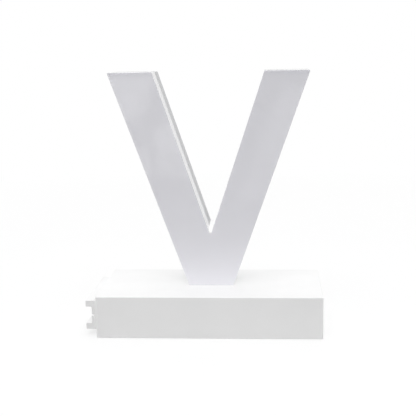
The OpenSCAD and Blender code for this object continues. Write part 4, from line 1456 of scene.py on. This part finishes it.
@dataclass(frozen=True)
class Letter:
    """The hollow V: opal cap in front, grey housing behind, its screws and a white bead of painted
    light in the notch's root.
    """

    height: float = 165.0
    width: float = 153.0
    arm: float = 34.2
    foot: float = 34.5
    foot_corner: float = 0.3
    notch_h: float = 41.5
    notch_w: float = 1.4
    notch_corner: float = 0.2
    corner: float = 0.8
    floor: float = 32.1
    front: float = -7.5
    split: float = 8.5
    back: float = 27.5
    face: float = 3.0
    cap_wall: float = 2.4
    housing_wall: float = 2.2
    back_wall: float = 2.4
    front_edge: float = 0.18
    polished: float = 0.6
    back_edge: float = 0.8
    seam: float = 0.22
    seam_steps: int = 2
    post_edge: float = 7.2
    post_drop: float = 13.0
    post_mid: float = 72.0
    post_low: Pair = (13.0, 22.0)
    head_t: float = 1.2
    recess_r: float = 2.5
    recess_rim: float = 0.2
    shank: float = 22.0
    bead_rise: Pair = (0.8, 4.2)
    bead_bend: float = 0.6
    bead_sink: float = 0.15
    bead_dip: float = 0.3
    bead_set: float = 0.5
    bead_steps: int = 8
    bead_points: int = 8

    def outline(self) -> Cornered:
        """The V's outline on the base.

        Returns:
            Its corners, anticlockwise as seen from the front.
        """
        w, f, n, h = self.width / 2, self.foot / 2, self.notch_w / 2, self.height
        points = [(-f, 0), (f, 0), (w, h), (w - self.arm, h), (n, self.notch_h), (-n, self.notch_h),
                  (self.arm - w, h), (-w, h)]
        radii = [r for r in (self.foot_corner, self.corner, self.notch_corner, self.corner)
                 for _ in range(2)]
        return Cornered([(x, self.floor + z) for x, z in points], radii)

    def notch_slope(self) -> float:
        """How far each side of the notch leans outwards per millimetre of height."""
        return (self.width / 2 - self.arm - self.notch_w / 2) / (self.height - self.notch_h)

    def screw_places(self) -> list[Pair]:
        """Where the housing screws are.

        Returns:
            Places across and above the base.
        """
        outer = (self.width - self.foot) / 2 / self.height
        top = self.height - self.post_drop
        near = self.notch_w / 2 + self.notch_slope() * (top - self.notch_h) + self.post_edge
        far = self.foot / 2 + outer * top - self.post_edge
        middle = self.foot / 2 + outer * self.post_mid - self.post_edge
        right = [(near, top), (far, top), (middle, self.post_mid), self.post_low]
        return [(side * x, z) for side in (-1, 1) for x, z in right]

    def cap(self, finishes: Finishes) -> None:
        """Builds the opal cap: polished where it looks forwards and satin elsewhere, where it also
        takes a lighter colour than its face, which is painted light on its sides, top and notch.

        Args:
            finishes: the object's finishes.
        """
        shape = bmesh.new()
        stations = rounded_end(self.front, self.front_edge, 1)
        stations += rounded_end(self.split, self.seam, -1, self.seam_steps)[::-1]
        stations += [(self.split, self.cap_wall), (self.front + self.face, self.cap_wall)]
        loft(shape, self.outline(), stations, along_y)
        piece = new_piece("opal_letter_cap", shape)
        smooth(piece)
        dress(piece, finishes.opal, finishes.opal_side_painted_light)
        # Faces that do not look forwards take the lighter colour: painted light on the sides, top
        # and notch
        for face in piece.data.polygons:
            face.material_index = 0 if face.normal.y < -self.polished else 1
        mount(piece, Body.BASE, Slot.OPAL, "opal_cap")

    def housing(self, finishes: Finishes) -> None:
        """Builds the grey housing with the recesses of its screws.

        Args:
            finishes: the object's finishes.
        """
        shape = bmesh.new()
        stations = rounded_end(self.back, self.back_edge, -1)
        stations += rounded_end(self.split, self.seam, 1, self.seam_steps)[::-1]
        stations += [(self.split, self.housing_wall),
                     (self.back - self.back_wall, self.housing_wall)]
        loft(shape, self.outline(), stations, along_y)
        piece = new_piece("grey_letter_housing", shape)
        cutter = bmesh.new()
        for x, z in self.screw_places():
            recess = Round(self.recess_r, (x, self.floor + z))
            loft(cutter, recess, eased_cut(self.back, self.head_t, self.recess_rim), along_y)
        combine(piece, cutter, Join.CUT)
        smooth(piece)
        dress(piece, finishes.grey)
        mount(piece, Body.BASE, Slot.GREY, "rear_housing")

    def bead(self, finishes: Finishes) -> None:
        """Builds a white bead in the root of the notch, over the grey housing, as painted light
        there; it grows towards the back.

        Args:
            finishes: the object's finishes.
        """
        low = self.floor + self.notch_h - self.bead_sink
        half_low = self.notch_w / 2 + self.bead_sink
        first, last = self.bead_rise
        shape = bmesh.new()
        rings = []
        for k in range(self.bead_steps + 1):
            share = k / self.bead_steps
            y = self.front + self.bead_set + share * (self.back - self.front - 2 * self.bead_set)
            rise = first + share ** self.bead_bend * (last - first)
            half_top = self.notch_w / 2 + self.notch_slope() * rise + self.bead_sink
            ring = [(-half_low, 0.0), (half_low, 0.0)]
            for i in range(self.bead_points + 1):
                across = i / self.bead_points
                dip = self.bead_dip * math.sin(math.pi * across)
                ring.append((half_top * (1 - 2 * across), self.bead_sink + rise - dip))
            rings.append([shape.verts.new(Vector((x, y, low + z)) * MM) for x, z in ring])
        join_rings(shape, rings)
        bmesh.ops.recalc_face_normals(shape, faces=shape.faces)
        # The bead is painted light: white where the notch's root would show the grey housing
        piece = new_piece("notch_light_bead", shape)
        smooth(piece)
        dress(piece, finishes.notch_light_fill)
        mount(piece, Body.BASE, Slot.WHITE)

    def build(self, finishes: Finishes) -> None:
        """Builds the cap, the housing, the bead and the screws.

        Args:
            finishes: the object's finishes.
        """
        self.cap(finishes)
        self.housing(finishes)
        self.bead(finishes)
        places = [(x, self.back - self.head_t, self.floor + z) for x, z in self.screw_places()]
        screws = screw_tree().grow("housing_cross_screws", places, [Facing.BACK] * len(places),
                                   {"Shank Length": self.shank * MM}, finishes.steel)
        mount(screws, Body.BASE, Slot.STEEL, "housing_screws")


@dataclass(frozen=True)
class Inside:
    """The pieces that the base and the letter enclose, which keep their CAD shapes."""

    steel: Sequence[str] = ("contact_plates", "switch_frame", "board_screws", "fixing_screws",
                            "clamp_plate", "strip_screws")
    pairs: Sequence[tuple[str, str]] = (
        ("switch_base", "phenolic"), ("switch_terminals", "brass"), ("driver_board", "board"),
        ("driver_chip", "black"), ("driver_coil", "black"), ("driver_capacitor", "can"),
        ("lead_sockets", "pale"), ("battery_lead_plus", "red"), ("switch_lead", "red"),
        ("letter_lead_plus", "red"), ("battery_lead_minus", "dark"), ("letter_lead_minus", "dark"),
        ("link_leads", "light"), ("wire_grommet", "rubber"), ("lamp_strip_left", "strip"),
        ("lamp_strip_right", "strip"), ("lamps_left", "lamp"), ("lamps_right", "lamp"))

    def build(self, finishes: Finishes) -> None:
        """Gives every enclosed CAD node its finish.

        Args:
            finishes: the object's finishes.
        """
        chosen = dict(self.pairs) | {node: "steel" for node in self.steel}
        for node, finish in chosen.items():
            dress(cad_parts[node], getattr(finishes, finish))
            LOG.info("%s: CAD shape with %s", node, finish)


# The studio


@dataclass(frozen=True)
class Softbox:
    """A rectangular studio lamp; sizes and places are in metres."""

    name: str
    place: Triple
    size: Pair
    power: float
    aim: Triple = (0.0, 0.0, 0.1)
    shadow: bool = False
    mirrored: bool = True

    def build(self) -> None:
        """Hangs the lamp and points it at its aim."""
        lamp = bpy.data.lights.new(self.name, "AREA")
        lamp.use_shadow = self.shadow
        lamp.shape, lamp.size, lamp.size_y, lamp.energy = "RECTANGLE", *self.size, self.power
        holder = bpy.data.objects.new(self.name, lamp)
        holder.location = self.place
        holder.visible_camera, holder.visible_glossy = False, self.mirrored
        ahead = Vector(self.aim) - Vector(self.place)
        holder.rotation_euler = ahead.to_track_quat("-Z", "Y").to_euler()
        bpy.context.scene.collection.objects.link(holder)


@dataclass(frozen=True)
class Reflector:
    """A card in front of the letter that only reflections show.

    Its corners are given across and up, in millimetres, like its distance from the middle.
    """

    name: str
    corners: Sequence[Pair]
    glow: float
    distance: float = 300.0

    def build(self) -> None:
        """Stands the card up and hides it from everything but reflections."""
        shape = bmesh.new()
        corners = [Vector((x, -self.distance, z)) * MM for x, z in self.corners]
        shape.faces.new([shape.verts.new(corner) for corner in corners])
        card = new_piece(self.name, shape)
        material = blank_material(self.name)
        add, link = material.node_tree.nodes.new, material.node_tree.links.new
        light = add("ShaderNodeEmission")
        light.inputs["Strength"].default_value = self.glow
        link(light.outputs[0], add("ShaderNodeOutputMaterial").inputs["Surface"])
        dress(card, material)
        card.visible_camera = card.visible_diffuse = card.visible_shadow = False
        card.visible_transmission = card.visible_volume_scatter = False


@dataclass(frozen=True)
class Studio:
    """Camera, lamps, white surround and floor.

    The camera's place, lens and sensor are in millimetres, and its turns are in degrees; the
    other sizes are in metres.
    """

    eye: Triple = (47.23, -649.83, 209.77)
    yaw: float = 4.340
    pitch: float = 10.242
    roll: float = -1.013
    lens: float = 73.74
    sensor: float = 36.0
    clip: Pair = (0.01, 50.0)
    ambient: float = 0.49
    floor_half: float = 6.0
    floor_matt: float = 0.65
    floor_pale: float = 0.55
    floor_glow: float = 0.37
    shadow_reach: Pair = (0.35, 0.9)
    boxes: Sequence[Softbox] = (
        Softbox("top_softbox", (0.0, 0.2, 4.5), (3.4, 3.4), 79.5),
        Softbox("top_front_softbox", (0.0, -1.3, 2.3), (2.0, 1.2), 13.2),
        Softbox("top_back_softbox", (0.0, 1.5, 2.3), (2.0, 1.2), 8.6),
        Softbox("left_softbox", (-2.2, -0.6, 0.9), (1.6, 1.6), 9.8),
        Softbox("right_softbox", (2.2, -0.6, 0.9), (1.6, 1.6), 9.6),
        Softbox("foot_card", (0.0, -0.02455, 0.0323), (0.15, 0.0339), 0.0089,
                (0.0, -0.02455, 0.2), shadow=True, mirrored=False),
        Softbox("floor_card", (0.0, -0.0535, 0.0005), (0.17, 0.022), 0.0009,
                (0.0, -0.0535, 0.2), shadow=True, mirrored=False),
    )
    cards: Sequence[Reflector] = (
        Reflector("card_upper_left", ((-142, 187), (-82, 187), (-88, 149), (-105, 138),
                                      (-122, 139)), 2.5),
        Reflector("card_between", ((-82, 187), (-28, 187), (-31, 144), (-61, 138), (-80, 128),
                                   (-81, 109), (-122, 106), (-122, 139), (-105, 138),
                                   (-88, 149)), 1.25),
        Reflector("card_middle", ((-80, 128), (-61, 138), (-31, 144), (-31.5, 105),
                                  (-80.5, 103)), 2.5),
        Reflector("card_lower", ((-80.5, 103), (-31.5, 105), (-32, 74), (-81, 75)), 2.0),
        Reflector("card_left", ((-121, 106), (-88, 109), (-86, 75), (-122, 73)), 2.2),
        Reflector("card_right", ((62, 170), (100, 180), (75.6, 96), (30, 96), (42, 138)), 1.8),
        Reflector("card_right_low", ((30, 96), (75.6, 96), (62, 49), (11, 49)), 1.5),
        Reflector("flag_high", ((20, 202), (110, 200), (110, 187), (20, 185)), 0.0),
    )

    def camera(self) -> None:
        """Sets up the camera at the photograph's place."""
        yaw, pitch, roll = (math.radians(a) for a in (self.yaw, self.pitch, self.roll))
        right = Vector((math.cos(yaw), math.sin(yaw), 0))
        ahead = Vector((-math.sin(yaw), math.cos(yaw), 0))
        level = Vector((0, 0, 1))
        look = ahead * math.cos(pitch) - level * math.sin(pitch)
        above = level * math.cos(pitch) + ahead * math.sin(pitch)
        across = right * math.cos(roll) + above * math.sin(roll)
        above = above * math.cos(roll) - right * math.sin(roll)
        data = bpy.data.cameras.new("camera")
        data.sensor_width, data.lens = self.sensor, self.lens
        data.clip_start, data.clip_end = self.clip
        camera = bpy.data.objects.new("camera", data)
        turn = Matrix((across, above, -look)).transposed().to_4x4()
        camera.matrix_world = Matrix.Translation(Vector(self.eye) * MM) @ turn
        bpy.context.scene.collection.objects.link(camera)
        bpy.context.scene.camera = camera

    @staticmethod
    def seen(tree: bpy.types.NodeTree) -> bpy.types.NodeSocket:
        """A factor that is 1 for rays of the camera, of reflections and of see-through pieces.

        Args:
            tree: the node tree that it is part of.

        Returns:
            The factor's socket.
        """
        path = tree.nodes.new("ShaderNodeLightPath")
        found = path.outputs["Is Camera Ray"]
        for label in ("Is Glossy Ray", "Is Transmission Ray"):
            larger = tree.nodes.new("ShaderNodeMath")
            larger.operation = "MAXIMUM"
            tree.links.new(found, larger.inputs[0])
            tree.links.new(path.outputs[label], larger.inputs[1])
            found = larger.outputs[0]
        return found

    def surround(self) -> None:
        """White behind the object, and an even light of its own strength on it."""
        world = bpy.data.worlds.new("surround")
        bpy.context.scene.world = world
        world.use_nodes = True
        tree = world.node_tree
        tree.nodes.clear()
        add, link = tree.nodes.new, tree.links.new
        mix = add("ShaderNodeMixShader")
        link(self.seen(tree), mix.inputs[0])
        for socket, strength in zip(mix.inputs[1:], (self.ambient, 1.0)):
            white = add("ShaderNodeBackground")
            white.inputs["Color"].default_value = (1, 1, 1, 1)
            white.inputs["Strength"].default_value = strength
            link(white.outputs[0], socket)
        link(mix.outputs[0], add("ShaderNodeOutputWorld").inputs["Surface"])

    def floor(self) -> None:
        """A pale floor that shows white, keeps the object's shadow and is white further out."""
        shape = bmesh.new()
        bmesh.ops.create_grid(shape, x_segments=1, y_segments=1, size=self.floor_half)
        floor = new_piece("floor", shape)
        material = blank_material("floor_white")
        tree = material.node_tree
        add, link = tree.nodes.new, tree.links.new
        matt, pale = add("ShaderNodeBsdfDiffuse"), add("ShaderNodeBsdfDiffuse")
        for node, tone in ((matt, self.floor_matt), (pale, self.floor_pale)):
            node.inputs["Color"].default_value = (tone, tone, tone, 1)
        glow, white = add("ShaderNodeEmission"), add("ShaderNodeEmission")
        glow.inputs["Strength"].default_value = self.floor_glow
        near = add("ShaderNodeAddShader")
        shown, mix = add("ShaderNodeMixShader"), add("ShaderNodeMixShader")
        place, away = add("ShaderNodeTexCoord"), add("ShaderNodeVectorMath")
        away.operation = "LENGTH"
        reach = add("ShaderNodeMapRange")
        for label, distance in zip(("From Min", "From Max"), self.shadow_reach):
            reach.inputs[label].default_value = distance
        link(place.outputs["Object"], away.inputs[0])
        link(away.outputs["Value"], reach.inputs["Value"])
        link(pale.outputs[0], near.inputs[0])
        link(glow.outputs[0], near.inputs[1])
        link(reach.outputs[0], shown.inputs[0])
        link(near.outputs[0], shown.inputs[1])
        link(white.outputs[0], shown.inputs[2])
        link(self.seen(tree), mix.inputs[0])
        link(matt.outputs[0], mix.inputs[1])
        link(shown.outputs[0], mix.inputs[2])
        link(mix.outputs[0], add("ShaderNodeOutputMaterial").inputs["Surface"])
        dress(floor, material)

    def build(self) -> None:
        """Builds the studio."""
        self.surround()
        self.floor()
        for fitting in (*self.boxes, *self.cards):
            fitting.build()
        bpy.context.scene.view_settings.view_transform = "Standard"


def main() -> None:
    """Builds the camera, the object and the studio."""
    logging.basicConfig(level=logging.INFO, format="%(name)s: %(message)s")
    studio = Studio()
    studio.camera()
    finishes = Finishes()
    for assembly in (BaseBlock(), CellTray(), Coupling(), SlideSwitch(), Letter(), Inside()):
        assembly.build(finishes)
    studio.build()


if __name__ == "__main__":
    main()
